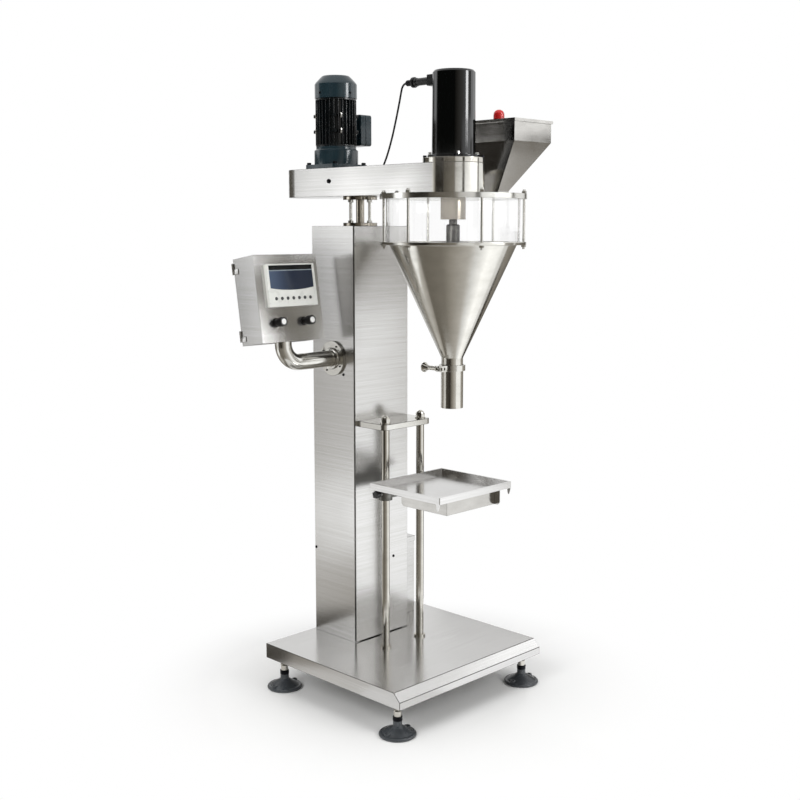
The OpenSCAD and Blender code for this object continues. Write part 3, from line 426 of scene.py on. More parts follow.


# Folded sheet: upright faces, tops and covers, the mirror-like funnel and apron, and painted shade on the
# rounded edges of stainless pieces.
SHEET = BrushedStainless("brushed_sheet_level", "sheet_steel", "cac9c8", "c0bfbc", 0.22)
SHEET_TOP = BrushedStainless(
    "brushed_sheet_along", "sheet_steel", "d0cfce", "c6c5c3", 0.2, Grain.ALONG_X
)
MIRROR_SHEET = PolishedStainless("mirror_sheet", "sheet_steel", "b4b2ae", "aaa8a4", 0.13, 0.05)
# Painted shade: a dark metal on the rounded edges of stainless pieces, for the dark lines of shade and
# reflection along them.
PAINTED_EDGE_SHADE = PolishedStainless("painted_edge_shade", "sheet_steel", "4a4844", "3a3835", 0.25, 0.0)

# Turned and spun stainless: post and sleeve, hopper, plates and screws, ground rods.
DIM_STEEL = PolishedStainless("turned_steel", "polished_steel", "a9a398", "99938a", 0.1, 0.01)
BRIGHT = PolishedStainless("spun_stainless", "polished_steel", "d2d0ca", "c4c2bb", 0.13, 0.08)
BRIGHT_PLATE = PolishedStainless("buffed_plate", "polished_steel", "d0cfca", "c6c4be", 0.16, 0.05)
TURNED = PolishedStainless("ground_bar", "polished_steel", "c8c5be", "b8b5ad", 0.09, 0.01)

# Plain steel: plated nuts, castings, oiled shafts and blackened screws.
NUT_STEEL = DullSteel("zinc_plated", "polished_steel", "e6e6e4", "d8d8d6", 0.35)
CAST_STEEL = DullSteel("cast_steel", "frame_steel", "8a8a86", "6d6c69", 0.42)
DARK_SHAFT = DullSteel("oiled_steel", "shaft_steel", "6b6a66", "3c3b39", 0.35)
BLACK_OXIDE = DullSteel("black_oxide", "black_matt", "26262a", "151517", 0.4)

# Paint: the motor's shields, its finned frame, and the servo's cover.
ENAMEL = SprayedEnamel("blue_grey_enamel", "motor_green", "1d2d33", "16242a", 0.15)
BLACK_ENAMEL = SprayedEnamel("black_enamel", "motor_black", "0a0f11", "06090b", 0.2, 2.0, 0.04)
LACQUER = PianoLacquer("black_lacquer", "black_gloss", "020303")

# Plastics: grips and lead, feet, belt, bezel, keys, sensor, knob caps, hopper ring and screen.
BLACK_NYLON = MouldedPlastic("black_nylon", "black_matt", "0d0e0f", "08090a", 0.34)
FOOT_NYLON = MouldedPlastic("grey_nylon", "foot_rubber", "42464a", "34373a", 0.28, 1.6, 0.03)
BELT = MouldedPlastic("belt_rubber", "belt_rubber", "151516", "0d0d0e", 0.7)
IVORY = MouldedPlastic("ivory_abs", "ivory", "d8d9d4", "e1e2dd", 0.3, 1.0, 0.015)
KEY_GREY = MouldedPlastic("key_rubber", "black_matt", "4c4e4e", "3b3d3d", 0.45, 0.8, 0.01)
RED_CAP = MouldedPlastic("red_polypropylene", "red", "c4161a", "d2201f", 0.2, 2.0, 0.01)
SILVER_CAP = MouldedPlastic("knob_cap", "polished_steel", "e9e9e7", "e0e0de", 0.25, 2.0, 0.005)
CLEAR = CastAcrylic("cast_acrylic", "acrylic", "ffffff")
DISPLAY = DisplayFilm("display_film", "screen", "232c3d")


def body_of(node: str) -> str:
    """Returns the body that carries a CAD node."""
    return frame["nodes"][node]["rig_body"]


def publish(
    piece: Piece, finish: Finish, body: str = FRAME_BODY, replaced: Iterable[str] = ()
) -> Piece:
    """Finishes a piece: gives it its material, rides it on its body and reports it.

    Args:
        piece: The object, with its place in its mesh.
        finish: The finish of all its faces.
        body: The body that carries it.
        replaced: The CAD nodes that it stands for.

    Returns:
        The same piece.
    """
    piece.data.materials.clear()
    piece.data.materials.append(finish.material())
    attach(piece, body)
    nodes = list(replaced)
    if nodes:
        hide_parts(*nodes)
    LOG.info("%s: %s, on %s", piece.name, finish.name, body)
    return piece


def new_object(name: str, data: bpy.types.ID | None) -> Piece:
    """Makes an object and puts it in the scene."""
    made = bpy.data.objects.new(name, data)
    bpy.context.scene.collection.objects.link(made)
    return made


def new_piece(name: str, bm: bmesh.types.BMesh, sharp_deg: float = CRISP_DEG) -> Piece:
    """Turns a bmesh, which is freed, into an object that is smooth but for edges over an angle."""
    mesh = bpy.data.meshes.new(name)
    bm.to_mesh(mesh)
    bm.free()
    mesh.shade_smooth()
    mesh.set_sharp_from_angle(angle=math.radians(sharp_deg))
    return new_object(name, mesh)


def soften(piece: Piece, width_mm: float, segments: int = 2, slot: int = -1) -> Piece:
    """Rounds a piece's sharp edges and keeps its flat faces flat to the light.

    Args:
        piece: The object.
        width_mm: The radius of the rounding.
        segments: The number of faces across it.
        slot: The material slot of the new faces, or minus one for their neighbours' one.

    Returns:
        The same piece.
    """
    bevel = piece.modifiers.new("edge", "BEVEL")
    bevel.width = width_mm * MM
    bevel.segments = segments
    bevel.limit_method = "ANGLE"
    bevel.angle_limit = math.radians(BEVEL_DEG)
    bevel.harden_normals = True
    bevel.material = slot
    bevel.use_clamp_overlap = True
    return piece


def merged_copy(node: str) -> bmesh.types.BMesh:
    """Copies a CAD node's loose triangles into one joined mesh, with single faces for flat areas."""
    bm = bmesh.new()
    bm.from_mesh(frame["nodes"][node].data)
    bmesh.ops.remove_doubles(bm, verts=bm.verts, dist=WELD_M)
    limit = math.radians(FLAT_DEG)
    bmesh.ops.dissolve_limit(bm, angle_limit=limit, verts=bm.verts, edges=bm.edges)
    return bm


def refine(
    node: str,
    finish: Finish,
    edge_mm: float = 0.6,
    segments: int = 2,
    sharp_deg: float = CRISP_DEG,
) -> Piece:
    """Replaces a CAD node by a joined, smooth copy with rounded edges, painted dark as shade on stainless.

    Args:
        node: The node's name.
        finish: The copy's finish.
        edge_mm: The radius of its edges, or zero for none.
        segments: The number of faces across each rounded edge.
        sharp_deg: Folds that turn by more than this stay crisp.

    Returns:
        The new piece.
    """
    piece = new_piece(f"{node}_finished", merged_copy(node), sharp_deg)
    stainless = isinstance(finish, (BrushedStainless, PolishedStainless))
    if edge_mm:
        soften(piece, edge_mm, segments, 1 if stainless else -1)
    publish(piece, finish, body_of(node), [node])
    # On stainless, the rounded edges take a second slot of dark metal, which is painted shade.
    if stainless:
        piece.data.materials.append(PAINTED_EDGE_SHADE.material())
    return piece


def filleted(profile: Sequence[Point2], radii: float | dict[int, float]) -> list[Point2]:
    """Rounds the corners of a closed profile, with a support point beside each fillet.

    Args:
        profile: The corners, in millimetres.
        radii: One radius for all corners, or a radius for each corner's index.

    Returns:
        The points of the rounded profile.
    """
    out: list[Point2] = []
    count = len(profile)
    for i, corner in enumerate(profile):
        radius = radii if isinstance(radii, float) else radii.get(i, 0.0)
        here = Vector(corner)
        before, after = Vector(profile[i - 1]), Vector(profile[(i + 1) % count])
        to_a, to_b = before - here, after - here
        turn = math.pi - to_a.angle(to_b, 0.0)
        reach = min(radius * math.tan(turn / 2), 0.45 * to_a.length, 0.45 * to_b.length)
        if radius <= 0 or turn < 0.05 or reach < 1e-4 or corner[0] < 1e-6:
            out.append(corner)
            continue
        a, b = here + to_a.normalized() * reach, here + to_b.normalized() * reach
        pad = min(0.3 * reach, 0.04 * to_a.length, 0.04 * to_b.length)
        out.append(tuple(a + to_a.normalized() * pad))
        for k in range(FILLET_STEPS + 1):
            t = k / FILLET_STEPS
            out.append(tuple(a * (1 - t) ** 2 + here * 2 * t * (1 - t) + b * t**2))
        out.append(tuple(b + to_b.normalized() * pad))
    return out


def facing(at: Point3, out: Point3 = UP) -> Matrix:
    """Returns the frame at a point in millimetres whose Z axis points out."""
    turn = Vector(UP).rotation_difference(Vector(out)).to_matrix().to_4x4()
    return Matrix.Translation(Vector(at) * MM) @ turn


def lathe(
    name: str,
    parts: Sequence[tuple[Sequence[Point2], Matrix]],
    radii: float | dict[int, float] = 0.6,
    steps: int = ROUND,
    sharp_deg: float = TURNED_CRISP_DEG,
) -> Piece:
    """Builds a piece from closed profiles that are turned about the Z axes of their frames.

    Args:
        name: The piece's name.
        parts: Each profile, as radius and height in millimetres, and its frame.
        radii: The fillets at the corners.
        steps: The number of faces round each axis.
        sharp_deg: Edges that turn by more than this stay crisp.

    Returns:
        The new piece.
    """
    bm = bmesh.new()
    for profile, place in parts:
        rings: list[list[bmesh.types.BMVert]] = []
        for radius, height in filleted(profile, radii):
            ring = []
            for k in range(1 if radius < 1e-6 else steps):
                a = 2 * math.pi * k / steps
                spot = Vector((radius * math.cos(a), radius * math.sin(a), height)) * MM
                ring.append(bm.verts.new(place @ spot))
            rings.append(ring)
        made = []
        for low, high in zip(rings, rings[1:] + rings[:1]):
            if len(low) == 1 and len(high) == 1:
                continue
            for k in range(steps):
                n = (k + 1) % steps
                corners = [low[k % len(low)], low[n % len(low)]]
                corners += [high[n % len(high)], high[k % len(high)]]
                unique = list(dict.fromkeys(corners))
                if len(unique) > 2:
                    made.append(bm.faces.new(unique))
        bmesh.ops.recalc_face_normals(bm, faces=made)
    return new_piece(name, bm, sharp_deg)


def spin(
    name: str,
    profile: Sequence[Point2],
    place: Matrix,
    finish: Finish,
    node: str,
    radii: float | dict[int, float] = 0.6,
    steps: int = ROUND,
    sharp_deg: float = TURNED_CRISP_DEG,
) -> Piece:
    """Builds one turned piece and publishes it in place of a CAD node, on the node's body.

    Args:
        name: The piece's name.
        profile: Radius and height of its corners, in millimetres.
        place: The frame whose Z axis it is turned about.
        finish: Its finish.
        node: The CAD node.
        radii: The fillets at the corners.
        steps: The number of faces round the axis.
        sharp_deg: Edges that turn by more than this stay crisp.

    Returns:
        The new piece.
    """
    piece = lathe(name, [(profile, place)], radii, steps, sharp_deg)
    return publish(piece, finish, body_of(node), [node])


class Head(Enum):
    """A fastener's head, as its outline in shares of its radius and height, and its number of sides."""

    SOCKET = (((0, 0.45), (0.5, 0.45), (0.5, 1), (0.93, 1), (1, 0.92), (1, 0), (0, 0)), 20)
    BUTTON = (((0, 0.5), (0.4, 0.5), (0.4, 1), (0.75, 0.9), (1, 0.35), (1, 0), (0, 0)), 20)
    HEXAGON = (((0, 1), (0.86, 1), (1, 0.85), (1, 0), (0, 0)), 6)


def fastener(radius: float, height: float, head: Head, out: Point3 = UP) -> Piece:
    """Builds a fastener's head of a size in millimetres, on the origin, to be repeated."""
    outline, sides = head.value
    profile = [(x * radius, y * height) for x, y in outline]
    place = facing((0, 0, 0), out)
    return lathe("head", [(profile, place)], 0.0, sides, SMALL_CRISP_DEG)


def slab(name: str, size: Point3, at: Point3, taper: float = 1.0) -> Piece:
    """Builds a small bar whose outer end, towards +X, may be narrower.

    Args:
        name: The bar's name.
        size: Its size along X, Y and Z in millimetres.
        at: Its middle in millimetres.
        taper: The width across Y at its outer end, as a share of the inner one.

    Returns:
        The bar.
    """
    bm = bmesh.new()
    bmesh.ops.create_cube(bm, size=1.0)
    for vert in bm.verts:
        outer = vert.co.x > 0
        vert.co.y *= taper if outer else 1.0
        vert.co = Vector([(c * s + a) * MM for c, s, a in zip(vert.co, size, at)])
    return new_piece(name, bm, SMALL_CRISP_DEG)


class Layout(Enum):
    """How repeated pieces are laid out."""

    RING = "ring"
    ROW = "row"


@dataclass
class Repeat:
    """Geometry Nodes that stand copies of one small piece in a ring or a row.

    Args:
        layout: A ring about Z, or a row from the origin.
        count: The number of copies.
        radius_mm: The ring's radius.
        start_deg: The angle of the ring's first copy.
        step_mm: The step from one copy to the next in a row.
    """

    layout: Layout = Layout.ROW
    count: int = 1
    radius_mm: float = 0.0
    start_deg: float = 0.0
    step_mm: Point3 = (0.0, 0.0, 0.0)

    sockets: ClassVar[dict[str, str]] = {
        "Count": "NodeSocketInt",
        "Radius": "NodeSocketFloat",
        "Start": "NodeSocketFloat",
        "Step": "NodeSocketVector",
        "Part": "NodeSocketObject",
        "Finish": "NodeSocketMaterial",
    }

    def tree(self) -> Tree:
        """Returns the layout's node tree, which is built at the first call."""
        name = f"stand_in_a_{self.layout.value}"
        found = bpy.data.node_groups.get(name)
        if found:
            return found
        tree = bpy.data.node_groups.new(name, "GeometryNodeTree")
        for label, kind in self.sockets.items():
            tree.interface.new_socket(label, in_out="INPUT", socket_type=kind)
        tree.interface.new_socket("Geometry", in_out="OUTPUT", socket_type="NodeSocketGeometry")
        given = add(tree, "NodeGroupInput").outputs
        laid = self.ring(tree, given) if self.layout is Layout.RING else self.row(tree, given)
        real = add(tree, "GeometryNodeRealizeInstances", {"Geometry": laid}).outputs[0]
        inputs = {"Geometry": real, "Material": given["Finish"]}
        dressed = add(tree, "GeometryNodeSetMaterial", inputs).outputs[0]
        add(tree, "NodeGroupOutput", {0: dressed})
        return tree

    def copies(
        self, tree: Tree, given: bpy.types.NodeOutputs, points: Socket, **turn: Socket
    ) -> Socket:
        """Stands a copy of the part on each point."""
        part = add(tree, "GeometryNodeObjectInfo", {"Object": given["Part"]}).outputs["Geometry"]
        inputs = {"Points": points, "Instance": part, **turn}
        return add(tree, "GeometryNodeInstanceOnPoints", inputs).outputs[0]

    def ring(self, tree: Tree, given: bpy.types.NodeOutputs) -> Socket:
        """Lays the copies round Z, each one turned to face outwards."""
        circle = {"Vertices": given["Count"], "Radius": given["Radius"]}
        points = add(tree, "GeometryNodeMeshCircle", circle).outputs[0]
        index = add(tree, "GeometryNodeInputIndex").outputs[0]
        angle = calc(tree, "MULTIPLY", calc(tree, "DIVIDE", index, given["Count"]), 2 * math.pi)
        outwards = add(tree, "ShaderNodeCombineXYZ", {"Z": angle}).outputs[0]
        start = add(tree, "ShaderNodeCombineXYZ", {"Z": given["Start"]}).outputs[0]
        copies = self.copies(tree, given, points, Rotation=outwards)
        inputs = {"Geometry": copies, "Rotation": start}
        return add(tree, "GeometryNodeTransform", inputs).outputs[0]

    def row(self, tree: Tree, given: bpy.types.NodeOutputs) -> Socket:
        """Lays the copies in a line from the origin."""
        line = {"Count": given["Count"], "Offset": given["Step"]}
        return self.copies(tree, given, add(tree, "GeometryNodeMeshLine", line).outputs[0])

    def make(
        self,
        name: str,
        part: Piece,
        place: Matrix,
        finish: Finish = BLACK_OXIDE,
        body: str = FRAME_BODY,
        replaced: Iterable[str] = (),
    ) -> Piece:
        """Stands the copies, makes them one plain mesh and publishes it.

        Args:
            name: The new piece's name.
            part: The piece that is repeated, which is used up.
            place: Where the layout's own frame stands, in metres.
            finish: The finish of the copies.
            body: The body that carries them.
            replaced: CAD nodes that the copies stand for.

        Returns:
            The new piece.
        """
        carrier = new_object(f"{name}_carrier", bpy.data.meshes.new(name))
        nodes = carrier.modifiers.new("repeat", "NODES")
        nodes.node_group = self.tree()
        values = {
            "Count": self.count,
            "Radius": self.radius_mm * MM,
            "Start": math.radians(self.start_deg),
            "Step": [v * MM for v in self.step_mm],
            "Part": part,
            "Finish": finish.material(),
        }
        for socket in nodes.node_group.interface.items_tree:
            if socket.item_type == "SOCKET" and socket.in_out == "INPUT":
                nodes[socket.identifier] = values[socket.name]
        graph = bpy.context.evaluated_depsgraph_get()
        mesh = bpy.data.meshes.new_from_object(carrier.evaluated_get(graph))
        bpy.data.objects.remove(carrier)
        bpy.data.objects.remove(part)
        mesh.transform(place)
        mesh.shade_smooth()
        mesh.set_sharp_from_angle(angle=math.radians(REPEAT_CRISP_DEG))
        return publish(new_object(name, mesh), finish, body, replaced)


class SubAssembly(ABC):
    """A group of pieces that are built and dressed together."""

    @abstractmethod
    def build(self) -> None:
        """Builds the group's pieces and dresses them."""


@dataclass(frozen=True)
class Card:
    """A graded panel that only shows in reflections, seen from the machine's middle.

    Args:
        name: The panel's name.
        span_deg: Where it begins and ends, from the camera's side and to the right of it.
        reach_m: Its lowest and highest edge, or where it begins and ends on the floor.
        level: Its brightness where it begins and where it ends; one is white.
        flat: Whether it lies on the floor.
    """

    name: str
    span_deg: Point2
    reach_m: Point2
    level: Point2
    flat: bool = False


@dataclass
class Studio(SubAssembly):
    """The camera, a white room, soft lamps and the cards that metal reflects.

    Args:
        lens_mm: The lens on the sensor, solved from the photograph's edges.
        sensor_mm: The sensor's width.
        eye: The camera's place in metres.
        pitch_deg: Its angle from straight down.
        yaw_deg: Its turn about Z.
        ambient: The level of the light from all round.
        lamps: Each lamp's name, place, size and power.
        floor_r: The floor's radius.
        fade_m: Where the shadow begins and ends to fade, from the middle outwards.
        ring_m: How far the cards stand from the middle.
        lying_m: How high the flat cards lie.
        strip_deg: The widest strip of a card.
        cards: The bright, graded and dark cards.
    """

    lens_mm: float = 52.47
    sensor_mm: float = 36.0
    eye: Point3 = (-2.551, -2.517, 1.448)
    pitch_deg: float = 81.7
    yaw_deg: float = -45.2
    ambient: float = 0.52
    lamps: tuple[tuple[str, Point3, float, float], ...] = (
        ("window_left", (-3.4, -0.6, 2.6), 1.8, 62.0),
        ("window_front", (0.6, -3.6, 2.4), 1.8, 46.0),
        ("sky", (-0.4, -0.4, 4.6), 2.4, 44.0),
    )
    floor_r: float = 9.0
    fade_m: Point2 = (0.36, 0.9)
    ring_m: float = 3.4
    lying_m: float = 0.003
    strip_deg: float = 6.0
    cards: tuple[Card, ...] = (
        Card("high_dark", (-100, 4), (1.9, 4.4), (0.03, 0.03)),
        Card("high_rise", (4, 50), (1.9, 4.4), (0.05, 0.8)),
        Card("high_strip", (62, 76), (1.95, 3.4), (15.0, 15.0)),
        Card("high_box_left", (76, 83), (2.1, 2.9), (1.8, 0.5)),
        Card("high_box_right", (83, 88), (2.1, 2.9), (0.5, 1.1)),
        Card("high_flag", (88, 94), (2.1, 2.9), (0.1, 0.1)),
        Card("high_glow", (94, 128), (1.98, 2.6), (2.0, 1.6)),
        Card("high_strip_left", (-120, -106), (1.9, 3.6), (1.8, 1.8)),
        Card("middle_window", (-103, -84), (1.5, 1.88), (1.3, 3.0)),
        Card("middle_window_low", (-93, -84), (1.1, 1.48), (1.5, 1.3)),
        Card("middle_window_edge", (-103, -93), (1.38, 1.48), (1.2, 1.2)),
        Card("box_shade", (-104, -94), (0.8, 1.36), (0.01, 0.01)),
        Card("middle_fall", (-84, -68), (1.1, 1.88), (1.2, 0.05)),
        Card("middle_dark", (-68, -36), (1.1, 1.88), (0.03, 0.03)),
        Card("middle_rise", (-36, 6), (1.1, 1.88), (0.12, 0.28)),
        Card("middle_wall", (6, 31), (1.1, 1.88), (0.8, 1.15)),
        Card("middle_line", (31, 39), (1.46, 1.95), (0.04, 0.04)),
        Card("middle_softbox", (39, 80), (1.1, 2.08), (1.2, 1.9)),
        Card("middle_softbox_end", (80, 94), (1.46, 2.08), (1.9, 1.9)),
        Card("middle_front", (80, 100), (1.1, 1.44), (0.3, 0.3)),
        Card("middle_flag", (94, 101), (1.46, 1.96), (0.1, 0.1)),
        Card("middle_glow", (101, 134), (1.46, 1.96), (1.2, 1.2)),
        Card("middle_flag_right", (136, 150), (1.46, 1.96), (0.1, 0.1)),
        Card("middle_flag_low", (104, 150), (1.1, 1.44), (0.25, 0.1)),
        Card("middle_flag_left", (-150, -103), (1.1, 2.1), (0.08, 0.12)),
        Card("low_left", (-176, -98), (0.0, 0.78), (0.05, 0.3)),
        Card("low_window", (-98, -66), (0.0, 0.78), (0.85, 0.9)),
        Card("low_window_top", (-93, -66), (0.8, 1.08), (1.5, 0.9)),
        Card("low_dark", (-66, -16), (0.0, 1.08), (0.1, 0.03)),
        Card("low_rise", (-16, 40), (0.0, 1.08), (0.1, 0.8)),
        Card("low_softbox", (40, 94), (0.0, 1.08), (1.4, 1.4)),
        Card("low_right", (94, 176), (0.0, 1.08), (0.55, 0.05)),
        Card("floor_behind", (-150, -112), (0.9, 3.4), (0.2, 0.5), True),
        Card("floor_edge", (-112, -97), (0.9, 3.4), (0.7, 0.7), True),
        Card("floor_left", (-97, -74), (0.9, 1.7), (0.7, 0.45), True),
        Card("floor_window", (-98, -78), (1.7, 3.4), (1.6, 1.4), True),
        Card("floor_dark", (-74, -20), (0.9, 3.4), (0.2, 0.27), True),
        Card("floor_rise", (-20, 34), (0.9, 3.4), (0.27, 0.65), True),
        Card("floor_bright", (34, 72), (0.9, 3.4), (0.65, 1.6), True),
        Card("floor_white", (72, 106), (0.9, 3.4), (1.7, 1.4), True),
        Card("floor_right", (120, 152), (0.9, 3.4), (0.08, 0.08), True),
        Card("floor_under_near", (-130, -50), (0.4, 0.62), (0.8, 0.8), True),
        Card("floor_under_far", (-130, -84), (0.62, 0.9), (0.06, 0.06), True),
        Card("floor_under_left", (-84, -50), (0.62, 0.9), (0.35, 0.35), True),
        Card("floor_under_right", (50, 130), (0.4, 0.9), (1.3, 1.3), True),
    )

    def build(self) -> None:
        """Makes the camera, the lamps, the world, the floor and the cards."""
        self.camera()
        self.light()
        self.world()
        self.floor()
        paper = self.card_paper()
        for card in self.cards:
            self.card(card, paper)
        bpy.context.scene.view_settings.view_transform = "Standard"

    def camera(self) -> None:
        """Stands the camera where the photograph was taken from."""
        data = bpy.data.cameras.new("camera")
        data.lens = self.lens_mm
        data.sensor_width = self.sensor_mm
        data.clip_start, data.clip_end = 0.05, 60.0
        eye = new_object("camera", data)
        eye.location = self.eye
        eye.rotation_euler = (math.radians(self.pitch_deg), 0.0, math.radians(self.yaw_deg))
        bpy.context.scene.camera = eye

    def light(self) -> None:
        """Hangs the soft lamps, each aimed at the machine's middle and unseen in reflections."""
        for name, at, size, power in self.lamps:
            data = bpy.data.lights.new(name, "AREA")
            data.shape = "SQUARE"
            data.size = size
            data.energy = power
            lamp = new_object(name, data)
            lamp.location = at
            lamp.visible_glossy = False
            aim = Vector(UP) - Vector(at)
            lamp.rotation_euler = aim.to_track_quat("-Z", "Y").to_euler()

    def seen(self, tree: Tree) -> Socket:
        """Returns one for camera, glossy and transmitted rays, which see the background as white."""
        path = add(tree, "ShaderNodeLightPath").outputs
        first = calc(tree, "MAXIMUM", path["Is Camera Ray"], path["Is Glossy Ray"])
        return calc(tree, "MAXIMUM", first, path["Is Transmission Ray"])

    def world(self) -> None:
        """Makes a room that is white to look at and lights at a plain level."""
        world = bpy.data.worlds.new("room")
        tree = emptied(world)
        white = linear("ffffff")
        soft, bright = (
            add(tree, "ShaderNodeBackground", {"Color": white, "Strength": level}).outputs[0]
            for level in (self.ambient, 1.0)
        )
        mix = add(tree, "ShaderNodeMixShader", {0: self.seen(tree), 1: soft, 2: bright})
        add(tree, "ShaderNodeOutputWorld", {"Surface": mix.outputs[0]})
        bpy.context.scene.world = world

    def floor(self) -> None:
        """Lays a pale floor that keeps the shadow and fades to white further out."""
        bm = bmesh.new()
        bmesh.ops.create_circle(bm, cap_ends=True, segments=ROUND, radius=self.floor_r)
        mesh = bpy.data.meshes.new("floor")
        bm.to_mesh(mesh)
        bm.free()
        ground = new_object("floor", mesh)
        paper = bpy.data.materials.new("white_paper")
        tree = emptied(paper)
        pale = {"Base Color": linear("fafaf9"), "Roughness": 0.7}
        matt = add(tree, "ShaderNodeBsdfPrincipled", pale).outputs[0]
        glow = add(tree, "ShaderNodeEmission", {"Strength": 1.0}).outputs[0]
        place = add(tree, "ShaderNodeTexCoord").outputs["Object"]
        away = add(tree, "ShaderNodeVectorMath", {0: place}, operation="LENGTH").outputs["Value"]
        fade = remap(tree, away, self.fade_m, (0.0, 1.0), interpolation_type="SMOOTHSTEP")
        factor = calc(tree, "MULTIPLY", fade, self.seen(tree))
        mix = add(tree, "ShaderNodeMixShader", {0: factor, 1: matt, 2: glow})
        add(tree, "ShaderNodeOutputMaterial", {"Surface": mix.outputs[0]})
        mesh.materials.append(paper)

    def card(self, card: Card, paper: bpy.types.Material) -> None:
        """Stands or lays one card, in strips that follow the ring."""
        middle = math.radians(270.0 + self.yaw_deg)
        first, last = card.span_deg
        strips = math.ceil((last - first) / self.strip_deg)
        corners: list[Point3] = []
        for k in range(strips + 1):
            turn = middle + math.radians(first + (last - first) * k / strips)
            for edge in card.reach_m:
                reach, height = (edge, self.lying_m) if card.flat else (self.ring_m, edge)
                corners.append((reach * math.cos(turn), reach * math.sin(turn), height))
        mesh = bpy.data.meshes.new(card.name)
        faces = [(2 * k, 2 * k + 2, 2 * k + 3, 2 * k + 1) for k in range(strips)]
        mesh.from_pydata(corners, [], faces)
        levels = mesh.attributes.new("level", "FLOAT", "POINT")
        for i, entry in enumerate(levels.data):
            share = (i // 2) / strips
            entry.value = card.level[0] * (1 - share) + card.level[1] * share
        mesh.materials.append(paper)
        board = new_object(card.name, mesh)
        for ray in ("camera", "diffuse", "transmission", "volume_scatter", "shadow"):
            setattr(board, f"visible_{ray}", False)

    def card_paper(self) -> bpy.types.Material:
        """Makes the cards' material, which glows at each card's level, warmer where it is dark."""
        paper = bpy.data.materials.new("card_paper")
        tree = emptied(paper)
        level = add(tree, "ShaderNodeAttribute", attribute_name="level").outputs["Fac"]
        shade = blend(tree, level, linear("fff2dc"), linear("fdfeff"))
        glow = add(tree, "ShaderNodeEmission", {"Color": shade, "Strength": level})
        add(tree, "ShaderNodeOutputMaterial", {"Surface": glow.outputs[0]})
        return paper


@dataclass
class ServoLead(SubAssembly):
    """The servo's lead, from the plug on the cover down to the grommet in the arm.

    Args:
        route: The CAD route's points across X = 0, as Y and Z in millimetres.
        beyond: A point before the route and one after it, which steer its ends.
        radius: The lead's radius in millimetres.
        per_span: The points of the smooth curve in each span of the route.
    """

    route: tuple[Point2, ...] = (
        (-11, 1880), (-1, 1877.5), (7, 1869), (11.5, 1855), (18, 1830), (27, 1798),
        (37, 1765), (48, 1731), (61, 1697), (73, 1670), (81, 1655), (86, 1645),
    )
    beyond: tuple[Point2, Point2] = ((-21, 1880), (86, 1632))
    radius: float = 3.0
    per_span: int = 3

    def points(self) -> list[Point3]:
        """Returns the smooth route in metres, with a few points in each span."""
        before, after = self.beyond
        stops = [before, *self.route, after]
        out: list[Point3] = []
        for i in range(1, len(stops) - 2):
            p0, p1, p2, p3 = (Vector(p) for p in stops[i - 1 : i + 3])
            for k in range(self.per_span):
                t = k / self.per_span
                spot = 0.5 * (
                    2 * p1
                    + (p2 - p0) * t
                    + (2 * p0 - 5 * p1 + 4 * p2 - p3) * t**2
                    + (3 * p1 - p0 - 3 * p2 + p3) * t**3
                )
                out.append((0.0, spot.x * MM, spot.y * MM))
        last = self.route[-1]
        return [*out, (0.0, last[0] * MM, last[1] * MM)]

    def build(self) -> None:
        """Lays the lead and dresses its plug."""
        points = self.points()
        curve = bpy.data.curves.new("servo_lead", "CURVE")
        curve.dimensions = "3D"
        curve.bevel_depth = self.radius * MM
        curve.bevel_resolution = 4
        curve.use_fill_caps = True
        spline = curve.splines.new("POLY")
        spline.points.add(len(points) - 1)
        for spot, point in zip(points, spline.points):
            point.co = (*spot, 1.0)
        spline.use_smooth = True
        lead = publish(new_object("servo_lead", curve), BLACK_NYLON, FRAME_BODY, ["servo_cable"])
        refine("cable_fittings", BLACK_NYLON, 1.2)
        rib = [(5.5, -1.1), (8.9, -1.1), (8.9, 1.1), (5.5, 1.1)]
        ring = lathe("rib", [(rib, facing((0, 0, 0)))], 0.4, 32)
        along = facing((0, -34, 1880), (0, 1, 0))
        ribs = Repeat(Layout.ROW, 5, step_mm=(0.0, 0.0, 4.4))
        grip = ribs.make("plug_grip", ring, along, BLACK_NYLON)


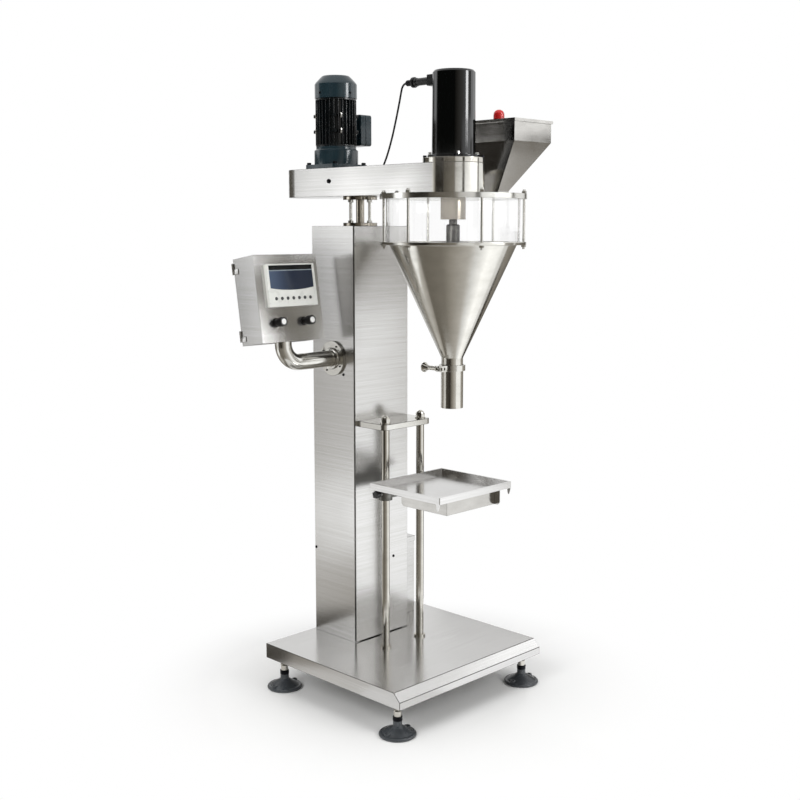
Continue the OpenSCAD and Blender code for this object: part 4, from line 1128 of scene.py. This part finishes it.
@dataclass
class BaseStand(SubAssembly):
    """The folded base pan, its frame and four levelling feet.

    Args:
        feet: Each foot's node, with the X and Y of its middle in millimetres.
        pad_r: The radius of a pad.
        lug_inset: How far the pad's two lugs stand inside its edge.
        screw_r: The radius of a foot's screw.
        pitch: The pitch at which its thread is drawn.
        neck_z: Where the plain neck begins.
        thread_z: Where the thread begins and ends.
    """

    feet: tuple[tuple[str, float, float], ...] = (
        ("foot_front_left", -283, -255),
        ("foot_front_right", 283, -255),
        ("foot_rear_left", -283, 255),
        ("foot_rear_right", 283, 255),
    )
    pad_r: float = 55.0
    lug_inset: float = 15.0
    screw_r: float = 12.0
    pitch: float = 3.0
    neck_z: float = 44.0
    thread_z: Point2 = (74.0, 117.0)

    def build(self) -> None:
        """Dresses the pan and its frame and builds the feet."""
        refine("base_cover", SHEET_TOP, 1.6, 3)
        refine("base_frame", CAST_STEEL, 0.8)
        for node, x, y in self.feet:
            self.pad(node, x, y)
            self.screw(node, facing((x, y, 0)))

    def pad(self, node: str, x: float, y: float) -> None:
        """Builds a foot's dished pad with its two anchor lugs."""
        r = self.pad_r
        dish = [
            (0, 0), (r - 3, 0), (r, 3), (r, 7), (r - 3, 10), (r - 9, 11), (20, 26), (14, 31),
            (13, 46), (0, 46),
        ]
        lug = [(5.5, 0.2), (9.5, 0.2), (9.5, 17), (5.5, 17)]
        reach = r - self.lug_inset
        parts = [(dish, facing((x, y, 0)))]
        parts += [(lug, facing((x + side * reach, y, 0))) for side in (1, -1)]
        publish(lathe(f"{node}_pad", parts, 1.6, 72), FOOT_NYLON, body_of(node), [node])

    def screw(self, node: str, place: Matrix) -> None:
        """Builds a foot's screw, threaded above a plain neck, and the dark collar at its foot."""
        r, neck = self.screw_r, self.neck_z
        low, high = self.thread_z
        flanks = []
        for k in range(int((high - low) / self.pitch)):
            z = low + k * self.pitch
            flanks += [(r - 1.0, z), (r, z + self.pitch / 2)]
        screw = [(0, neck), (r - 0.6, neck), (r - 0.6, low), *flanks, (r - 1.0, high), (0, high)]
        spin(f"{node}_screw", screw, place, TURNED, node, 0.0, 40, 28.0)
        collar = [(0, 45.8), (14.2, 45.8), (14.2, 57), (13, 58.5), (0, 58.5)]
        spin(f"{node}_collar", collar, place, BLACK_OXIDE, node, 0.6, 48)


@dataclass
class Column(SubAssembly):
    """The folded column with its front cover, side cabinet and screws.

    Args:
        screws: Each screw's place in millimetres and the direction that its head faces.
    """

    screws: tuple[tuple[Point3, Point3], ...] = (
        ((-118, 284, 424), LEFT),
        ((-118, 147, 1002), LEFT),
        ((51, 97, 397), (0, -1, 0)),
    )

    def build(self) -> None:
        """Dresses the sheets and sets the screws."""
        refine("column_shell", SHEET, 1.2, 3)
        refine("column_front", SHEET, 0.8)
        refine("side_cabinet", SHEET, 1.0)
        for k, (at, out) in enumerate(self.screws):
            head = fastener(4.5, 2.6, Head.BUTTON)
            Repeat().make(f"column_screw_{k}", head, facing(at, out))


class LiftingTable(SubAssembly):
    """Guide rods, their bracket, the carriage, the apron and the tray."""

    def build(self) -> None:
        """Dresses the lifting table's pieces."""
        refine("guide_rods", TURNED)
        refine("rod_bracket", BRIGHT_PLATE, 1.2)
        refine("carriage", CAST_STEEL, 0.8)
        refine("tray_bracket", MIRROR_SHEET, 0.5, sharp_deg=20.0)
        refine("tray", SHEET_TOP, 0.5)
        refine("clamp_knob", BLACK_NYLON, 1.2)


@dataclass
class DriveArm(SubAssembly):
    """The arm's housing with the belt drive in it, and the post that it stands on.

    Args:
        bolt: The place of the bolt in the arm's left side.
        round_from_y: Where the housing's round, polished end begins.
    """

    bolt: Point3 = (-90.0, 239.0, 1598.0)
    round_from_y: float = -202.5

    def build(self) -> None:
        """Dresses the arm, its post and the drive inside."""
        housing = refine("arm_housing", SHEET, 1.4, 3)
        housing.data.materials.append(BRIGHT.material())
        for face in housing.data.polygons:
            if face.center.y < self.round_from_y * MM and abs(face.normal.z) < 0.5:
                face.material_index = 2
        refine("arm_bottom_cover", SHEET_TOP, 0.5)
        refine("spacer_post", DIM_STEEL, 0.8)
        refine("post_studs", BRIGHT_PLATE, 0.5)
        refine("drive_belt", BELT, 0.3)
        for node in ("drive_pulley", "driven_pulley"):
            refine(node, CAST_STEEL, 0.2, 1)
        refine("head_bearings", TURNED, 0.5)
        refine("bearing_sleeve", DIM_STEEL, 0.5)
        refine("agitator", DARK_SHAFT, 0.8)
        Repeat().make("arm_bolt", fastener(7.0, 4.0, Head.HEXAGON), facing(self.bolt, LEFT))


@dataclass
class StirrerMotor(SubAssembly):
    """The finned motor on the arm's rear end.

    Args:
        axis_y: The motor's middle in millimetres.
        fin_r: The radius across the fins.
        fins: The number of fins.
        frame_z: Where the finned frame begins and ends.
        flange_z: The top of the flange that its bolts stand on.
        cowl_z: The height of the fan cowl's screws.
        lid_at: The X and lowest Z of the terminal lid's screws.
        lid_pitch: How far those screws stand apart along Y and Z.
    """

    axis_y: float = 303.0
    fin_r: float = 65.0
    fins: int = 30
    frame_z: Point2 = (1709.0, 1858.0)
    flange_z: float = 1653.0
    cowl_z: float = 1873.0
    lid_at: Point2 = (115.0, 1725.0)
    lid_pitch: Point2 = (64.0, 78.0)

    def build(self) -> None:
        """Dresses the shields and the terminal box and builds the finned frame."""
        refine("motor_endshield", ENAMEL, 2.0, 3)
        refine("motor_fan_cover", ENAMEL, 1.6, 3)
        self.finned_frame()
        refine("terminal_box", ENAMEL, 1.6, 3)
        refine("motor_rotor", CAST_STEEL, 0.4)
        bolt = fastener(7.0, 7.0, Head.HEXAGON)
        flange = facing((0.0, self.axis_y, self.flange_z))
        Repeat(Layout.RING, 4, 87.0, 45.0).make("motor_flange_bolts", bolt, flange)
        cowl = facing((0.0, self.axis_y, self.cowl_z))
        Repeat(Layout.RING, 4, 66.8).make("cowl_screws", self.side_screw(), cowl)
        x, z = self.lid_at
        across, up = self.lid_pitch
        pair = Repeat(Layout.ROW, 2, step_mm=(0.0, 0.0, up))
        for k, y in enumerate((-across / 2, across / 2)):
            pair.make(f"terminal_screws_{k}", self.side_screw(), facing((x, self.axis_y + y, z)))

    def side_screw(self) -> Piece:
        """Builds a screw head that faces outwards along X."""
        return fastener(4.0, 2.8, Head.BUTTON, RIGHT)

    def finned_frame(self) -> None:
        """Builds the finned frame: a drum between two end plates, tapered fins and screw bosses."""
        r = self.fin_r
        low, high = self.frame_z
        drum = [
            (r - 24, low), (r - 1, low), (r - 1, low + 5), (r - 8, low + 8), (r - 8, high - 9),
            (r - 1, high - 6), (r - 1, high), (r - 24, high),
        ]
        axis = facing((0.0, self.axis_y, 0.0))
        spin("motor_drum", drum, axis, BLACK_ENAMEL, "motor_body", 0.8)
        fin = slab("fin", (12.0, 3.4, high - low - 7), (r - 6.0, 0.0, (low + high) / 2), 0.62)
        fins = Repeat(Layout.RING, self.fins, start_deg=6.0)
        fins.make("motor_fins", soften(fin, 0.5), axis, BLACK_ENAMEL, replaced=["motor_body"])
        cone = [(0, r - 12), (9, r - 12), (5, r + 6), (0, r + 6)]
        bosses = Repeat(Layout.RING, 4, start_deg=45.0)
        pads = Repeat(Layout.RING, 4, start_deg=61.5)
        for k, z in enumerate((low + 47, low + 95)):
            middle = facing((0.0, self.axis_y, z))
            boss = lathe("boss", [(cone, facing((0, 0, 0), RIGHT))], 0.8, 32)
            bosses.make(
                f"motor_bosses_{k}", boss, middle, BLACK_ENAMEL, replaced=["motor_body"]
            )
            pad = soften(slab("pad", (4.0, 5.5, 15.0), (r + 1.0, 0.0, 0.0)), 0.8)
            pads.make(f"boss_pads_{k}", pad, middle, BRIGHT_PLATE)


@dataclass
class FillingHead(SubAssembly):
    """The servo under its tall lacquered cover, the flange that carries it and the filling screw.

    Args:
        axis_y: The filling axis in millimetres.
        foot_z: The height of the flange's underside.
        flange_r: The flange's radius.
        flange_h: Its thickness.
        cover_r: The radius of the cover's foot.
        cover_h: The height of the cover.
        rim_h: The thickness of the rim at the cover's foot.
    """

    axis_y: float = -202.0
    foot_z: float = 1639.0
    flange_r: float = 90.0
    flange_h: float = 15.0
    cover_r: float = 64.0
    cover_h: float = 246.0
    rim_h: float = 8.0

    def build(self) -> None:
        """Builds the flange and the cover and dresses what is inside."""
        axis = facing((0.0, self.axis_y, 0.0))
        z, wide = self.foot_z, self.flange_r
        foot = z + self.flange_h
        flange = [
            (34, z), (wide, z), (wide, foot), (50, foot), (50, z + 61), (26, z + 61),
            (26, z + 55), (34, z + 55),
        ]
        spin("head_flange_turned", flange, axis, TURNED, "head_flange", 1.2)
        r, top_r = self.cover_r, self.cover_r - 2
        rim, top = foot + self.rim_h, foot + self.cover_h
        cover = [
            (r - 2.5, foot), (r + 12, foot), (r + 12, rim), (r, rim), (r - 0.6, rim + 2),
            (top_r, top - 6), (top_r - 5, top), (0, top), (0, top - 2.5), (top_r - 5, top - 2.5),
        ]
        spin("servo_cover_lacquered", cover, axis, LACQUER, "servo_cover", 2.4)
        refine("servo_motor", BLACK_ENAMEL, 1.0)
        refine("shaft_coupling", DARK_SHAFT, 0.5)
        refine("auger", TURNED, 0.0)
        bolt = fastener(5.5, 7.0, Head.SOCKET)
        at = facing((0.0, self.axis_y, foot))
        Repeat(Layout.RING, 4, 83.0, 45.0).make("flange_bolts", bolt, at)
        nut = fastener(5.0, 8.0, Head.HEXAGON)
        at = facing((0.0, self.axis_y, rim))
        Repeat(Layout.RING, 4, 70.0, 52.7).make("cover_nuts", nut, at, NUT_STEEL)


@dataclass
class Hopper(SubAssembly):
    """Lid, clear ring, cone, outlet and feed funnel.

    Args:
        axis_y: The hopper's axis in millimetres.
        ring_r: The radius of the ring round the cone's mouth.
        window_r: The clear ring's outer radius.
        wall: The cone's wall, measured level.
        end_z: The outlet's end.
        ferrule_z: The joint between the cone's neck and the outlet.
        cone_z: Where the cone begins.
        ring_z: Where it ends, at the ring.
        window_z: The clear ring's foot.
        lid_z: The lid's underside.
        lid_top: The lid's top.
        sensor_at: The place of the level sensor's barrel, at its bracket's height.
    """

    axis_y: float = -202.0
    ring_r: float = 214.0
    window_r: float = 196.0
    wall: float = 2.205
    end_z: float = 923.5
    ferrule_z: float = 1044.0
    cone_z: float = 1073.0
    ring_z: float = 1405.0
    window_z: float = 1414.0
    lid_z: float = 1536.0
    lid_top: float = 1551.0
    sensor_at: Point3 = (243.0, -167.0, 1773.0)

    def build(self) -> None:
        """Builds the hopper from the lid down to the outlet."""
        axis = facing((0.0, self.axis_y, 0.0))
        self.shell(axis)
        self.window(axis)
        refine("hopper_lid", BRIGHT_PLATE, 1.6, 3)
        refine("tie_rods", BRIGHT_PLATE, 0.5)
        self.outlet(axis)
        refine("feed_funnel", MIRROR_SHEET, 0.8, sharp_deg=8.0)
        self.sensor()
        screw = fastener(5.0, 5.0, Head.SOCKET)
        lid = facing((0.0, self.axis_y, self.lid_top))
        Repeat(Layout.RING, 3, 104.0, 200.0).make("lid_screws", screw, lid)

    def shell(self, axis: Matrix) -> None:
        """Builds the ring, the cone and its neck as one spun and welded piece."""
        mouth, inner = self.window_r - 9, self.window_r - 9 - self.wall
        joint, rim = self.ferrule_z, self.ferrule_z + 5
        outline = [
            (self.ring_r, self.window_z), (self.ring_r, self.ring_z), (mouth, self.ring_z),
            (32, self.cone_z), (32, rim), (35.5, rim), (35.5, joint), (30, joint),
            (30, self.cone_z), (inner, self.ring_z), (inner, self.window_z),
        ]
        radii = dict(enumerate((1.2, 1.2, 3.0, 7.0, 1.0, 0.8, 0.8, 0.4, 6.0, 2.0, 0.6)))
        spin("hopper_cone_spun", outline, axis, BRIGHT, "hopper_cone", radii, 160, 40.0)

    def window(self, axis: Matrix) -> None:
        """Builds the clear ring with polished edges."""
        inner, outer, low, high = self.window_r - 6, self.window_r, self.window_z, self.lid_z
        outline = [(inner, low), (outer, low), (outer, high), (inner, high)]
        spin("hopper_window_cast", outline, axis, CLEAR, "hopper_window", 0.5, 160)

    def outlet(self, axis: Matrix) -> None:
        """Builds the outlet tube and the thumb nut and dresses the clamp."""
        z = self.ferrule_z
        outline = [
            (35.5, z), (35.5, z - 5), (33.6, z - 5), (33.6, z - 9.5), (33, z - 9.5),
            (33, self.end_z), (30, self.end_z), (30, z),
        ]
        spin("outlet_tube_turned", outline, axis, BRIGHT, "outlet_tube", 0.8)
        refine("outlet_clamp", BRIGHT_PLATE, 0.8)
        nut = [
            (4.3, 10.3), (8, 10.3), (8, 16.3), (6.5, 18.3), (6.5, 44.3), (8, 50.3), (11, 56.3),
            (15, 61.3), (15, 64.3), (0, 62.3), (0, 42.3), (4.3, 42.3),
        ]
        beside = facing((-53.0, self.axis_y, z), (0, 1, 0))
        spin("thumb_nut_turned", nut, beside, TURNED, "thumb_nut", 0.9, 48)

    def sensor(self) -> None:
        """Builds the level sensor: a red cap on a grey barrel, and its bracket."""
        x, y, z = self.sensor_at
        place = facing(self.sensor_at)
        cap = [(0, 8), (17, 8), (17, 20), (16, 27), (12, 33), (6, 36.5), (0, 37)]
        spin("sensor_cap", cap, place, RED_CAP, "level_sensor", 1.0, 64)
        barrel = [(0, -75), (14, -75), (14, 8), (0, 8)]
        spin("sensor_barrel", barrel, place, BLACK_NYLON, "level_sensor", 0.8, 64)
        plate = slab("sensor_bracket", (24.0, 48.0, 5.0), (x, y + 24, z - 27.5))
        publish(soften(plate, 0.8), BRIGHT_PLATE, FRAME_BODY, ["level_sensor"])


@dataclass
class ControlBox(SubAssembly):
    """The leaning control box on its bent pipe, with its screen, keys and knobs.

    Args:
        origin: The middle of the box's underside, in millimetres.
        lean_deg: How far it leans back.
        depth: Its depth with the door.
        keys: The number of keys.
        screen_middle: The screen's middle, across and up the box's front.
        screen_size: Its width and height.
        knobs_x: Each knob's node and its place across the front.
        knob_z: The height of both.
        knob_ribs: The number of ribs on a knob.
        pipe_flange: The middle of the pipe's flange on the column.
    """

    origin: Point3 = (-320.0, 188.0, 1114.0)
    lean_deg: float = 9.0
    depth: float = 96.0
    keys: int = 7
    screen_middle: Point2 = (7.0, 188.0)
    screen_size: Point2 = (166.0, 74.0)
    knobs_x: tuple[tuple[str, float], ...] = (("knob_left", -55.0), ("knob_right", 55.0))
    knob_z: float = 58.0
    knob_ribs: int = 24
    pipe_flange: Point3 = (-126.0, 193.0, 1050.0)

    def place(self) -> Matrix:
        """Returns the box's own frame, in metres."""
        lean = Matrix.Rotation(math.radians(-self.lean_deg), 4, "X")
        return Matrix.Translation(Vector(self.origin) * MM) @ lean

    def build(self) -> None:
        """Dresses the pipe and the box, and builds the screen and the knobs."""
        refine("control_pipe", BRIGHT_PLATE, 0.8)
        refine("control_box", SHEET, 1.2, 3)
        refine("rear_door", SHEET, 0.8)
        refine("hmi_bezel", IVORY, 0.8, 3)
        for k in range(self.keys):
            refine(f"key_{k + 1}", KEY_GREY, 0.4)
        self.screen()
        for node, x in self.knobs_x:
            self.knob(node, x)
        screw = fastener(2.6, 2.4, Head.SOCKET)
        flange = facing(self.pipe_flange, LEFT)
        Repeat(Layout.RING, 4, 44.0, 60.0).make("pipe_flange_screws", screw, flange)

    def screen(self) -> None:
        """Copies the screen and lays its picture out in a UV map."""
        piece = new_piece("hmi_screen_glass", merged_copy("hmi_screen"))
        layer = piece.data.uv_layers.new(name="screen_map")
        back = self.place().inverted()
        wide, high = self.screen_size
        left, low = self.screen_middle[0] - wide / 2, self.screen_middle[1] - high / 2
        for loop in piece.data.loops:
            spot = back @ piece.data.vertices[loop.vertex_index].co / MM
            layer.data[loop.index].uv = ((spot.x - left) / wide, (spot.z - low) / high)
        publish(piece, DISPLAY, FRAME_BODY, ["hmi_screen"])

    def knob(self, node: str, x: float) -> None:
        """Builds a knob, at its place across the box, with a ribbed grip and a bright cap."""
        out = self.place().to_3x3() @ Vector((0, -1, 0))
        middle = self.place() @ (Vector((x, -self.depth / 2, self.knob_z)) * MM) / MM
        axis = facing(tuple(middle), tuple(out))
        grip = [
            (0, -14), (4.7, -14), (4.7, 0.4), (11, 0.4), (11, 5), (9, 5.4), (9, 9), (13.2, 9),
            (13.2, 28), (12.4, 29), (0, 29),
        ]
        spin(f"{node}_grip", grip, axis, BLACK_NYLON, node, 0.5, 48)
        cap = [(0, 28.6), (8.6, 28.6), (8.6, 29.4), (8.0, 29.8), (0, 29.8)]
        spin(f"{node}_cap", cap, axis, SILVER_CAP, node, 0.2, 48)
        rib = slab("rib", (1.2, 1.9, 17.0), (13.3, 0.0, 18.5), 0.5)
        ribs = Repeat(Layout.RING, self.knob_ribs)
        ribs.make(f"{node}_ribs", rib, axis, BLACK_NYLON, body_of(node), [node])


def main() -> None:
    """Builds the studio and the machine, the camera and the lead first."""
    logging.basicConfig(level=logging.INFO, format="%(name)s: %(message)s")
    groups: list[SubAssembly] = [
        Studio(), ServoLead(), BaseStand(), Column(), LiftingTable(), DriveArm(),
        StirrerMotor(), FillingHead(), Hopper(), ControlBox(),
    ]
    for group in groups:
        LOG.info("building %s", type(group).__name__)
        group.build()


if __name__ == "__main__":
    main()
